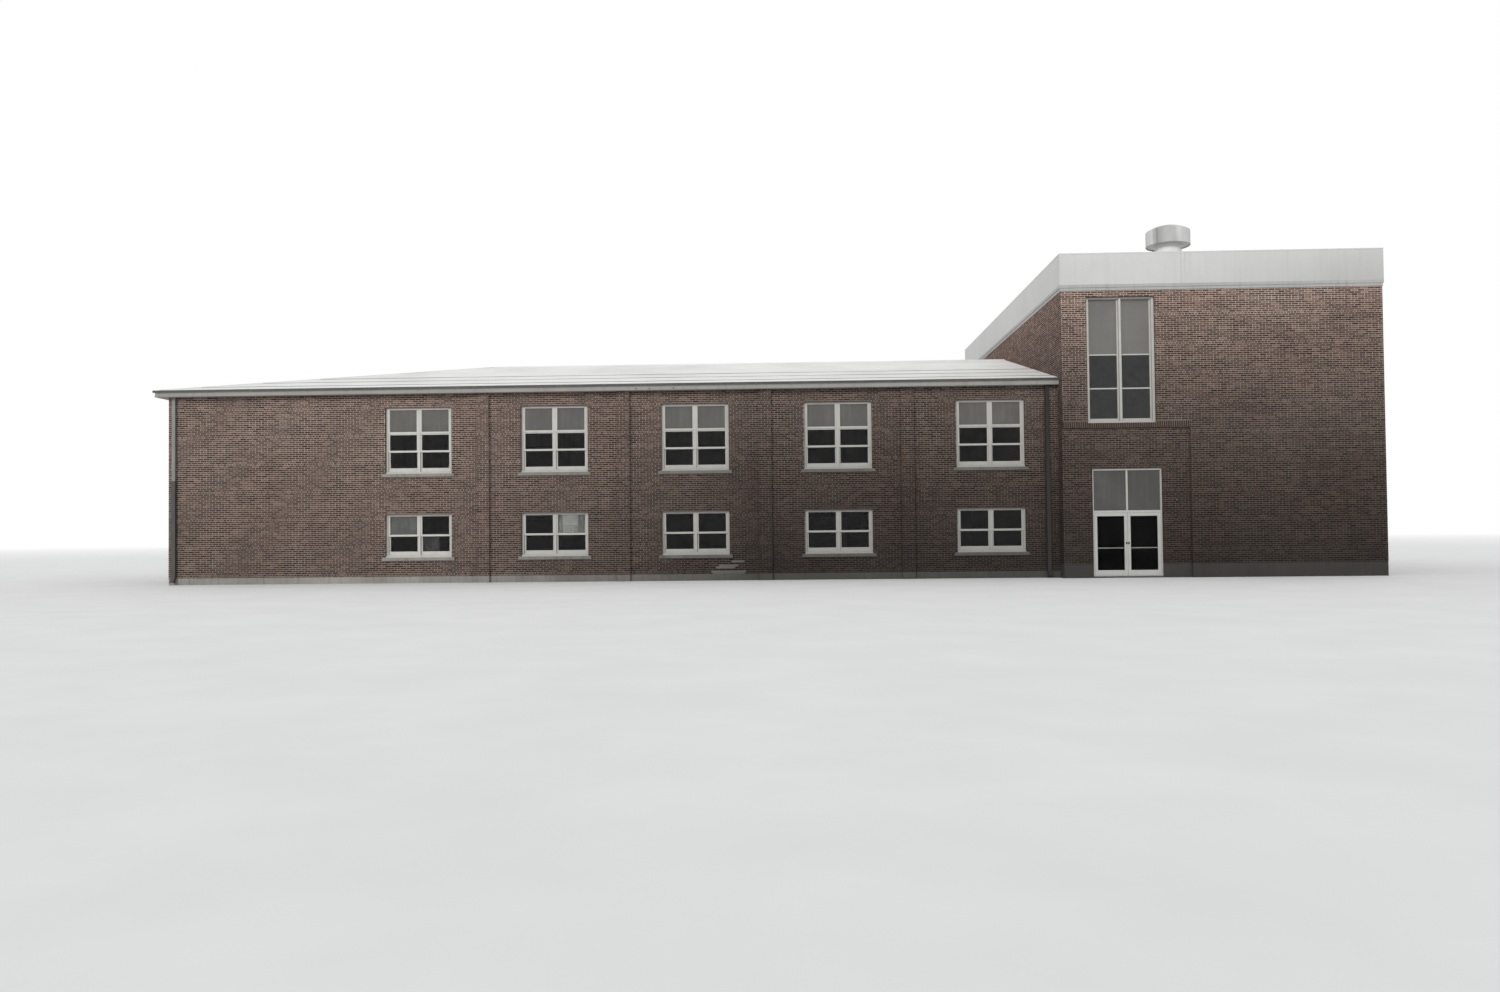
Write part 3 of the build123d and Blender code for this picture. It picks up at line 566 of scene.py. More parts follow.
# The stepped repair low on the wing's front, right of its middle window: rectangles (left, right, foot,
# head) from REPAIR_PLACE, and the tone of their bricks, 1 for those smeared with mortar
REPAIR_PLACE = -0.755
REPAIR = ((0.0, 0.21, 0.735, 0.80, 0.0), (-0.68, 0.36, 0.0, 0.34, 1.0), (-0.52, 0.10, 0.36, 0.50, 1.0),
          (-0.04, 0.12, 0.48, 0.73, 1.0), (0.22, 0.38, 0.56, 0.66, 1.0))


def left_of(rect, hole):
    """What is left of a rectangle (left, right, foot, head) beside, under and over a hole."""
    a, b, c, d = rect
    e, f, g, h = hole
    if e >= b or f <= a or g >= d or h <= c:
        return [rect]
    low, high = max(a, e), min(b, f)
    parts = (a, e, c, d), (f, b, c, d), (low, high, c, g), (low, high, h, d)
    return [part for part in parts if part[0] < part[1] and part[2] < part[3]]


def cut(rect, holes):
    """What is left of a rectangle beside all holes, without slivers."""
    parts = [rect]
    for hole in holes:
        parts = [p for part in parts for p in left_of(part, hole)]
    return [p for p in parts if p[1] - p[0] > SHORTEST and p[3] - p[2] > LOWEST]


def span(way, *places):
    """Two places on X or Y as (left, right), measured along a way."""
    return tuple(sorted(place * (way.x + way.y) for place in places))


def opening(way, low, high, inset=0.0):
    """The hole that a box makes in a face laid along a way."""
    return (*span(way, low[0] + inset, high[0] - inset), low[2], high[2])


class Brickwork:
    """Bricks of one wall in common bond, laid on flat faces of the frame. A face is given by its way to the
    right as seen from outside, its place across that way, its two ends, its foot and its head."""

    def __init__(self, settings, course, foot, first_header, seed):
        self.settings, self.course, self.foot, self.first_header = settings, course, foot, first_header
        self.random = np.random.default_rng(seed)
        self.rows = []

    def put(self, way, face, part, headers, tone):
        origin = (0, face, 0) if way.x else (face, 0, 0)
        self.rows.append((origin, way, part, headers, tone))

    def lay(self, way, face, ends, foot, head, holes=(), anchored=False, kept=None, special=None):
        """Lay one flat face. An anchored one starts at its left; special may give a brick its own tone."""
        s = self.settings
        left, right = span(way, *ends)
        row = max(0, math.floor((foot - self.foot) / self.course + 1e-6))
        while self.foot + row * self.course < head:
            level = self.foot + row * self.course
            low = max(level + s.joint / 2, foot)
            high = min(level + self.course - s.joint / 2, head)
            headers = row % s.header_every == self.first_header
            unit = s.brick_length / 2 if headers else s.brick_length
            shift = (left if anchored else 0.0) + (unit / 2 if row % 2 else 0)
            near = [hole for hole in holes if hole[2] < high and hole[3] > low]
            for n in range(math.floor((left - shift) / unit), math.ceil((right - shift) / unit)):
                start = max(shift + n * unit + s.joint / 2, left)
                end = min(shift + (n + 1) * unit - s.joint / 2, right)
                for part in cut((start, end, low, high), near):
                    if kept is None or kept(*part):
                        self.put(way, face, part, headers, special(*part) if special else None)
            row += 1

    def soldiers(self, way, face, ends, foot, head, holes):
        """Lay a course of bricks on end."""
        left, right = span(way, *ends)
        joint, unit = self.settings.joint, self.settings.brick_length / 3
        for n in range(math.ceil((right - left) / unit)):
            start, end = left + n * unit, min(left + (n + 1) * unit - joint, right)
            for part in cut((start, end, foot, head - joint), holes):
                self.put(way, face, part, False, self.random.uniform(0.42, 0.58))

    def reveals(self, openings, face, depth, foot_lift=0.0):
        """Lay brick ends in the two jambs of each opening, from a face inward."""
        depths = face, face + math.copysign(depth, -face)
        for low, high in openings:
            for x, way in ((low[0], BACKWARD), (high[0], FORWARD)):
                self.lay(way, x, depths, low[2] + foot_lift, high[2], anchored=True)

    def finish(self, name, made):
        """Make one piece of every brick that was laid."""
        origin, along, part, headers, given = (np.array(column, float) for column in zip(*self.rows))
        count = len(part)
        along = along[:, None, :]
        across = part[:, (0, 1, 1, 0, 0, 1, 1, 0)][:, :, None]
        upward = part[:, (2, 2, 3, 3, 2, 2, 3, 3)][:, :, None]
        depth = np.full((count, 8), -SET_IN)
        proud = self.settings.proud * self.random.uniform(0.72, 1.0, (count, 1))
        depth[:, :4] = proud + self.random.uniform(-0.0004, 0.0004, (count, 4))
        points = (origin[:, None, :] + across * along + upward * np.array(UP)
                  + depth[:, :, None] * np.cross(along, np.array(UP)))
        pattern = np.array(((0, 1, 2, 3), (0, 4, 5, 1), (1, 5, 6, 2), (2, 6, 7, 3), (3, 7, 4, 0)))
        shape = Shape()
        shape.verts = points.reshape(-1, 3).tolist()
        shape.faces = (np.arange(count)[:, None, None] * 8 + pattern).reshape(-1, 4).tolist()
        piece = make_piece(name, shape, made, tidy=False)
        tone = np.clip(self.random.normal(0.5, 0.17, count) + 0.08 * headers, 0.02, PALEST)
        tone = np.where(np.isnan(given), tone, given)
        attribute = piece.data.attributes.new("brick_tone", "FLOAT", "FACE")
        attribute.data.foreach_set("value", np.repeat(tone, len(pattern)))


def repaired(left, right, foot, head):
    """The own tone of a brick in the repair."""
    x, z = (left + right) / 2 - REPAIR_PLACE, (foot + head) / 2
    for x0, x1, z0, z1, tone in REPAIR:
        if x0 < x < x1 and z0 < z < z1:
            return tone
    return None


def wing_brickwork(settings, made):
    """Front, rear and left walls of the wing."""
    levels = wing_high.z, eaves_low.z
    left, right = wing_low.x, wing_high.x

    def wall(seed):
        first = levels[0] - 0.45 * settings.course
        return Brickwork(settings, settings.course, first, settings.first_header, seed)

    for rows, way, seed in (("front", RIGHTWARD, 11), ("rear", LEFTWARD, 12)):
        node = "wing_" + rows + "_wall"
        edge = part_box(node)[0].y if rows == "front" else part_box(node)[1].y
        face = edge + math.copysign(settings.pilaster_proud, -edge)
        sides = sorted({round(v.co.x, 3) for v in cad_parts[node].data.vertices
                        if abs(v.co.y - edge) < SET_IN})
        pilasters = list(zip(sides[::2], sides[1::2]))
        windows = solid_boxes(rows + "_window_frames")
        holes = [opening(way, *ends) for ends in windows]
        holes += [opening(way, *ends, settings.sill_bevel) for ends in solid_boxes(rows + "_window_sills")]
        holes += [(*span(way, *ends), *levels) for ends in pilasters]
        work = wall(seed)
        work.lay(way, face, (left - settings.proud, right), *levels, holes,
                 special=repaired if rows == "front" else None)
        for ends in pilasters:
            work.lay(way, edge, ends, *levels, anchored=True)
            for x, jamb in zip(ends, (FORWARD, BACKWARD)):
                work.lay(jamb, x, (edge, face), *levels, anchored=True)
        work.reveals(windows, face, settings.pilaster_proud, SILL_RISE)
        work.finish("wing_" + rows + "_brickwork", made)
    face = wing_low.y + settings.pilaster_proud
    work = wall(13)
    work.lay(FORWARD, left, (face, -face), *levels)
    work.finish("wing_left_brickwork", made)


def hall_brickwork(settings, made):
    """All four walls of the hall, with the shallow recess round the entrance."""
    foot, head, recess_top = hall_high.z, trim_low.z, settings.recess_top
    left, right, front, back = hall_low.x, hall_high.x, hall_low.y, hall_high.y
    ends = left - settings.proud, right + settings.proud
    recess_right, recess_face = left + settings.recess_length, front + settings.recess_depth
    soldier_top = recess_top + settings.soldier
    beyond = 1.0  # holes that run out of a wall's end reach this far past it
    stair = solid_boxes("stair_window_frames")[0]
    door = (entrance_low.x, 0, foot), (entrance_high.x, 0, entrance_high.z)

    def wall(seed):
        return Brickwork(settings, settings.hall_course, foot - 0.5 * settings.hall_course, 0, seed)

    work = wall(21)
    stair_hole = opening(RIGHTWARD, *stair)
    work.lay(RIGHTWARD, front, ends, foot, head, (stair_hole, (left - beyond, recess_right, 0, soldier_top)))
    work.soldiers(RIGHTWARD, front, (left, recess_right), recess_top, soldier_top, (stair_hole,))
    work.lay(RIGHTWARD, recess_face, (ends[0], recess_right), foot, recess_top, (opening(RIGHTWARD, *door),))
    # The recess's right jamb gets the palest bricks: painted light against the shade that falls on this side
    # face.
    work.lay(FORWARD, recess_right, (front, recess_face), foot, recess_top, anchored=True,
             special=lambda *part: PALEST)
    work.reveals([stair], front, STAIR_JAMB)
    work.reveals([door], recess_face, DOOR_JAMB)
    work.finish("hall_front_brickwork", made)

    work = wall(22)
    work.lay(LEFTWARD, back, ends, foot, head, (opening(LEFTWARD, *stair),))
    work.reveals([stair], back, STAIR_JAMB)
    work.finish("hall_rear_brickwork", made)

    work = wall(23)
    work.lay(BACKWARD, right, (front, back), foot, head)
    work.finish("hall_right_brickwork", made)

    slope = roof_plane()[1]
    covered = -wing_low.y - settings.pilaster_proud

    def over_roof(a, b, c, d):
        near, far = sorted((abs(a), abs(b)))
        return near > covered or d > roof_high.z - slope * far - 0.02

    work = wall(24)
    recess = (*span(FORWARD, recess_face, front - beyond), 0, recess_top)
    work.lay(FORWARD, left, (front, back), foot, head, (recess,), kept=over_roof)
    work.finish("hall_left_brickwork", made)


class SCHOOL_OT_brickwork(bpy.types.Operator):
    """Lay the bricks of every wall and give the walls behind them their mortar"""
    bl_idname = "school.brickwork"
    bl_label = "Brickwork"

    def execute(self, context):
        settings = context.scene.school_brick
        # the bricks and the mortar carry the painted shade of the walls
        ends = {"left": settings.painted_shade_left, "right": settings.painted_shade_right, "high": settings.painted_light_high}

        def fired(tree):
            """A colour that differs from brick to brick."""
            tone = tree.node("ShaderNodeAttribute", attribute_name="brick_tone").outputs["Fac"]
            return tree.ramp(tone, ((0.0, settings.dark), (0.5, settings.middle), (0.9, settings.light),
                                    (1.0, settings.smear)))

        brick = material("brick", with_painted_shade(fired, **ends), depth=0.003, specular=0.2)
        wing_brickwork(settings, brick)
        hall_brickwork(settings, brick)
        dress(material("mortar", with_painted_shade(settings.mortar, **ends), specular=0.2),
              "wing_front_wall", "wing_rear_wall", "wing_left_wall", "hall_left_pier", "hall_right_pier",
              "hall_front_wall", "hall_rear_wall", "hall_left_wall", "hall_right_wall")
        return {"FINISHED"}


# ---- Concrete and stone ----

class SCHOOL_OT_masonry(bpy.types.Operator):
    """Finish the concrete base, the floors and the masonry sills"""
    bl_idname = "school.masonry"
    bl_label = "Concrete and sills"

    def execute(self, context):
        finish = context.scene.school_finish
        # painted shade on the concrete, darker towards the right
        ends = {"left": 0.86, "right": 0.19, "high": 1.0}
        for name, rgb, nodes in (
                ("concrete", finish.concrete, ("wing_foundation", "hall_floor", "wing_upper_floor")),
                ("hall_concrete", finish.hall_concrete, ("hall_base",))):
            dress(material(name, with_painted_shade(rgb, **ends), damp=-0.28, specular=0.2), *nodes)
        # painted shade on the sills, darker towards the right
        sill = material("masonry_sill", with_painted_shade(finish.sill, left=1.0, right=0.30, high=1.0), specular=0.3)
        dress(sill, "front_window_sills", "rear_window_sills")
        return {"FINISHED"}


# ---- Windows ----

class SCHOOL_OT_windows(bpy.types.Operator):
    """Finish the windows: paint, glass, panels, glazing beads, lintels, shades, blinds and curtains"""
    bl_idname = "school.windows"
    bl_label = "Windows"

    bead_width: length("Bead width", "Width of the putty round a pane", 0.005)
    bead_depth: length("Bead depth", "Depth of the putty round a pane", 0.008)
    lintel: length("Lintel", "Thickness of the steel angle over a window", 0.008)
    lintel_depth: length("Lintel depth", "How far a steel angle reaches into its wall", 0.09)
    behind_frames: length("Blind place", "How far the rear blinds hang inside the frames", 0.09)

    def execute(self, context):
        finish = context.scene.school_finish
        # painted shade on the window paint, darker towards the right foot
        paint = dress(material("painted_wood", with_painted_shade(finish.paint, left=1.05, right=0.56, high=1.1)),
                      "front_window_frames", "rear_window_frames", "front_window_sashes",
                      "rear_window_sashes", "stair_window_frames")
        # the near-black rear glass is painted shade that keeps the inside dark
        for node, tint, rough, bending in (("front_window_glass", finish.glass, 0.03, 1.22),
                                           ("rear_window_glass", finish.rear_glass_painted_dark, 0.15, 1.22),
                                           ("stair_window_glass", finish.stair_glass, 0.03, 1.45)):
            dress(glass_material(node, tint, rough, bending), node)
        dress(material("infill_panel", finish.panel), "front_infill_panels", "rear_infill_panels")
        dress(material("stair_panel", finish.stair_panel), "stair_window_panels")
        dress(material("transom_panel", finish.transom_panel), "transom_panels")
        beads = Shape()
        for node, depth, width in (("front_window_glass", 1, 1), ("front_infill_panels", 2, 1.6),
                                   ("rear_window_glass", 1, 1), ("rear_infill_panels", 2, 1.6),
                                   ("stair_window_glass", 1.5, 1), ("stair_window_panels", 1.5, 1),
                                   ("transom_panels", 1.5, 1)):
            for low, high in solid_boxes(node):
                side, face = (-1, low[1]) if low[1] < 0 else (1, high[1])
                beads.picture_frame(low, high, face, side * depth * self.bead_depth, width * self.bead_width)
        make_piece("glazing_beads", beads, paint)
        lintels = Shape()
        wing_face = wing_low.y + context.scene.school_brick.pilaster_proud
        shorter = 0.006
        for node, wall in (("front_window_frames", wing_face), ("rear_window_frames", wing_face),
                           ("stair_window_frames", hall_low.y)):
            for low, high in solid_boxes(node):
                side = 1 if low[1] < 0 else -1
                near, far = sorted((side * wall, side * (wall + self.lintel_depth)))
                lintels.block((low[0] + shorter, near, high[2] - self.lintel),
                              (high[0] - shorter, far, high[2] - SET_IN))
        make_piece("window_lintels", lintels, material("lintel_steel", finish.lintel))
        self.hang_shades(finish)
        return {"FINISHED"}

    def hang_shades(self, finish):
        """Blinds inside the rear windows, partly painted shade that keeps the view through the building dark;
        a shade, a blind and curtains inside two lower front windows.
        """
        # drawn blinds over every rear window, partly painted shade that keeps the inside dark
        closed = Shape()
        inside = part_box("rear_window_frames")[0].y - self.behind_frames
        for low, high in solid_boxes("rear_window_frames"):
            closed.block((low[0] - 0.08, inside - 0.003, low[2] - 0.03),
                         (high[0] + 0.08, inside, high[2] + 0.02))
        make_piece("rear_window_blinds", closed, material("rear_blind_painted_shade", finish.rear_blind_painted_shade))
        upper_storey = 3.0
        columns = {}
        for low, high in solid_boxes("front_window_glass"):
            if high[2] < upper_storey:
                columns.setdefault(round(float(low[0]), 2), []).append((low, high))
        columns = list(columns.values())
        pane = columns[3][1]
        sides = 0.17, 0.73
        shade = Shape()
        self.sheet(shade, pane, sides, (0.40, 0.985), 0.03, 0.0, 1)
        x0, x1 = share(pane, 0, *sides)
        y = pane[1][1] + 0.030
        for z in share(pane, 2, *(0.36 - 0.115 * n for n in range(4))):
            shade.tube([[(x, y - 0.012, z - 0.034), (x, y - 0.010, z - 0.038), (x, y + 0.016, z + 0.002),
                         (x, y + 0.014, z + 0.006)] for x in (x0, x1)])
        make_piece("window_shades", shade, material("shade_cloth", finish.shade))
        for name, cloth, rgb, smooth, *hung in (
                ("window_blind", "blind_cloth", finish.blind, False,
                 columns[0][1], (-0.02, 1.02), (-0.03, 1.02), 0.03, 0.003, 3),
                ("window_drapes", "drape_cloth", finish.drape, True,
                 pane, (-0.03, 1.03), (-0.04, 1.02), 0.055, 0.010, 11),
                ("window_curtains", "curtain_cloth", finish.curtain, True,
                 columns[1][0], (-0.02, 0.60), (-0.05, 1.05), 0.04, 0.002, 3)):
            shape = Shape()
            self.sheet(shape, *hung)
            make_piece(name, shape, material(cloth, rgb), smooth=smooth)

    def sheet(self, shape, pane, across, upward, behind, depth, waves):
        """A hanging cloth behind a pane, over shares of its width and height, with waves of a depth."""
        (x0, x1), (z0, z1) = share(pane, 0, *across), share(pane, 2, *upward)
        thick = 0.002
        per_wave = 6
        steps = per_wave * waves
        rings = []
        for n in range(steps + 1):
            x = x0 + (x1 - x0) * n / steps
            y = pane[1][1] + behind + depth * math.sin(2 * math.pi * n / per_wave)
            rings.append([(x, y, z0), (x, y + thick, z0), (x, y + thick, z1), (x, y, z1)])
        shape.tube(rings)


def share(pane, axis, *shares):
    """Places at shares of a pane's width (axis 0) or height (axis 2)."""
    low, high = pane
    return [low[axis] + (high[axis] - low[axis]) * f for f in shares]


# ---- Wing roof ----

# The three eaves of the wing and the four sides of the parapet band: corners as (x, y, way in x, way in y)
EAVES = ((hall_low.x, roof_low.y, 0, -1), (roof_low.x, roof_low.y, -1, -1), (roof_low.x, -roof_low.y, -1, 1),
         (hall_low.x, -roof_low.y, 0, 1))
BAND = ((band_low.x, band_low.y, -1, -1), (band_high.x, band_low.y, 1, -1), (band_high.x, band_high.y, 1, 1),
        (band_low.x, band_high.y, -1, 1))
EAVE_HOOKS = (-3.820, -3.389, -2.611)  # X of the hooks on the front fascia
HOOK_FOOT, HOOK_HEAD = 6.155, 6.205


def roof_plane():
    """Level of the wing's roof at its edge, and its slope."""
    edge_level = roof_low.z + bpy.context.scene.school_roof.plate_thickness
    return edge_level, (roof_high.z - edge_level) / -roof_low.y


class SCHOOL_OT_wing_roof(bpy.types.Operator):
    """Finish the wing's roof: roofing with its laps, drip edge and eave mouldings"""
    bl_idname = "school.wing_roof"
    bl_label = "Wing roof"

    drip: length("Drip edge", "How far the drip edge hangs below the roof's top", 0.062)
    drip_lap: length("Drip edge lap", "How far the drip edge reaches up the roof", 0.09)
    lip: length("Lip", "How far the drip edge stands out", 0.003)

    def execute(self, context):
        finish = context.scene.school_finish
        made = dress(material("roofing", finish.roofing),
                     "wing_roof_front", "wing_roof_rear", "wing_roof_hip", "roof_caps")
        # the dark lines along the lower laps are painted shade
        laps, lap_shade_lines = self.lay_roofing(context.scene.school_roof)
        make_piece("roof_laps", laps, made)
        make_piece("roof_lap_shade_lines", lap_shade_lines, material("roof_lap_shade", finish.lap_shade))
        # the near-black drip edge is painted shade under the roof's edge; the eave hooks take the same colour
        flashing = material("flashing", finish.flashing)
        top, slope = roof_plane()
        rise = slope * self.drip_lap
        drip = Shape()
        drip.carry(EAVES, ((-self.drip_lap, top + 0.002 + rise), (self.lip, top + 0.004),
                           (self.lip, top - self.drip), (0.0, top - self.drip), (0.0, top - 0.003),
                           (-self.drip_lap, top - 0.004 + rise)))
        make_piece("roof_drip_edge", drip, flashing)
        paint = dress(material("eave_paint", finish.eaves), "boxed_eaves")
        outset, foot = roof_low.x - eaves_low.x, eaves_low.z
        mould = Shape()
        mould.carry(EAVES, ((outset, foot + 0.02), (outset + 0.012, foot + 0.02),
                            (outset + 0.012, foot + 0.004), (outset, foot - 0.004)))
        make_piece("eave_mould", mould, paint)
        hooks = Shape()
        for x in EAVE_HOOKS:
            hooks.block((x - 0.016, eaves_low.y - 0.012, HOOK_FOOT),
                        (x + 0.016, eaves_low.y + SET_IN, HOOK_HEAD), 0.003)
        make_piece("eave_hooks", hooks, flashing)
        return {"FINISHED"}

    def lay_roofing(self, roof):
        """The edges of the roofing's laps and a dark bead of painted shade along the lower ones, each a little
        uneven.
        """
        chance = np.random.default_rng(31)
        edge_level, slope = roof_plane()
        run = -roof_low.y

        def spot(way, along, step, lift):
            z = edge_level + slope * step + lift
            if way == "hip":
                return roof_low.x + step, along, z
            return along, (roof_low.y + step) * (1 if way == "front" else -1), z

        laps, lap_shade_lines = Shape(), Shape()
        for way in ("front", "rear", "hip"):
            offset = roof.first_lap
            shaded_until = roof.first_lap + (roof.lap_shade_lines - 0.5) * roof.lap_spacing
            while offset < run - 0.4:
                start, end = roof_low.x + offset, hall_low.x
                if way == "hip":
                    start, end = roof_low.y + offset, -roof_low.y - offset
                stations = max(2, int((end - start) / 1.1))
                lap, bead = [], []
                for n in range(stations + 1):
                    along = start + (end - start) * n / stations
                    wander = chance.uniform(-0.008, 0.008)
                    tall = roof.lap_height * chance.uniform(0.6, 1.2) * (1 if offset < shaded_until else 0.4)
                    lap_shade = roof.lap_shade_height * chance.uniform(0.7, 1.2)
                    sheet = (0.0, -0.004), (0.0, tall), (0.10, 0.0015), (0.10, -0.004)
                    line = (-0.03, -0.002), (-0.012, 0.5 * lap_shade), (0.0, lap_shade), (0.012, -0.002)
                    for rings, section in ((lap, sheet), (bead, line)):
                        rings.append([spot(way, along, offset + wander + into, lift)
                                      for into, lift in section])
                laps.tube(lap)
                if offset < shaded_until:
                    lap_shade_lines.tube(bead)
                offset += roof.lap_spacing
        return laps, lap_shade_lines


# ---- Hall roof and parapet ----

class SCHOOL_OT_parapet(bpy.types.Operator):
    """Finish the hall's parapet: cladding with its cover plates, cap flashing, trim and the flat roof"""
    bl_idname = "school.parapet"
    bl_label = "Parapet and flat roof"

    cap_drop: length("Cap drop", "How far the cap flashing hangs down the band", 0.035)
    plate_width: length("Cover plate width", "Width of the plate over a joint of the cladding", 0.124)
    plate_proud: length("Cover plate height", "How far a cover plate stands out", 0.004)

    def joints(self, first, spacing, low, high):
        """Places of the joints between two ends, one of them at first."""
        place = first - spacing * math.floor((first - low) / spacing)
        places = []
        while place < high:
            if low + 0.2 < place < high - 0.2:
                places.append(place)
            place += spacing
        return places

    def execute(self, context):
        finish, roof = context.scene.school_finish, context.scene.school_roof
        # painted shade on the clad band, darker towards the right and towards its foot
        cladding_painted_shade = with_painted_shade(finish.cladding, left=0.92, right=0.74, high=1.0, **{"from": 13.0, "to": 19.5},
                       foot=band_low.z, top=band_high.z + 0.4)
        cladding = dress(material("cladding", cladding_painted_shade, metallic=0.1), "parapet_band")
        trim = dress(material("cladding_trim", finish.trim), "parapet_trim")
        membrane_painted_sunlit = dress(material("deck_membrane", finish.membrane_painted_sunlit), "hall_roof_deck")
        thickness, lip, top = 0.12, 0.004, band_high.z
        drop, inner = top - self.cap_drop, -thickness - lip
        cap = Shape()
        cap.carry(BAND, ((0.0, drop), (lip, drop), (lip, top + lip), (inner, top + lip), (inner, drop),
                         (-thickness, drop), (-thickness, top), (0.0, top)), closed=True)
        make_piece("parapet_cap", cap, cladding)
        plates, sealant = Shape(), Shape()
        half, proud, bevel = self.plate_width / 2, self.plate_proud, 0.003
        foot, head = band_low.z + 0.004, drop - 0.002
        section = (-half, 0.0), (-half + bevel, proud), (half - bevel, proud), (half, 0.0)
        seam = 0.004
        first = hall_low.x + roof.joint_from_left
        for x in self.joints(first, roof.sheet_length, band_low.x, band_high.x):
            for y, way in ((band_low.y, -1), (band_high.y, 1)):
                plates.tube([[(x + across, y + way * out, z) for across, out in section]
                             for z in (foot, head)])
                for edge in (-half - seam, half - seam) if x == first else ():
                    ends = sorted((y - way * SET_IN, y + way * proud * 1.2))
                    sealant.block((x + edge, ends[0], foot), (x + edge + 2 * seam, ends[1], head))
        for y in self.joints(0.0, roof.sheet_length, band_low.y, band_high.y):
            for x, way in ((band_low.x, -1), (band_high.x, 1)):
                plates.tube([[(x + way * out, y + across, z) for across, out in section]
                             for z in (foot, head)])
        make_piece("cladding_cover_plates", plates, cladding)
        make_piece("cladding_sealant", sealant, trim)
        laps = Shape()
        deck_top, edge, sheet_width, overlap = band_low.z, 0.08, 1.0, 0.09
        y = hall_low.y + sheet_width
        while y < hall_high.y - 0.5:
            laps.block((hall_low.x + edge, y, deck_top - SET_IN),
                       (hall_high.x - edge, y + overlap, deck_top + 0.004), 0.0015)
            y += sheet_width
        make_piece("deck_laps", laps, membrane_painted_sunlit)
        return {"FINISHED"}


# ---- Ventilator ----

# Painted light and shade across the hood's width, as (place, grey): lighter towards both ends, darker in the
# middle, with a darker stripe beside its front seam
HOOD_PAINTED_LIGHT = ((0.0, 0.54), (0.02, 0.62), (0.053, 0.62), (0.086, 0.44), (0.115, 0.41), (0.125, 0.30),
              (0.148, 0.30), (0.165, 0.37), (0.25, 0.40), (0.43, 0.40), (0.50, 0.44), (0.60, 0.58),
              (1.0, 0.61))


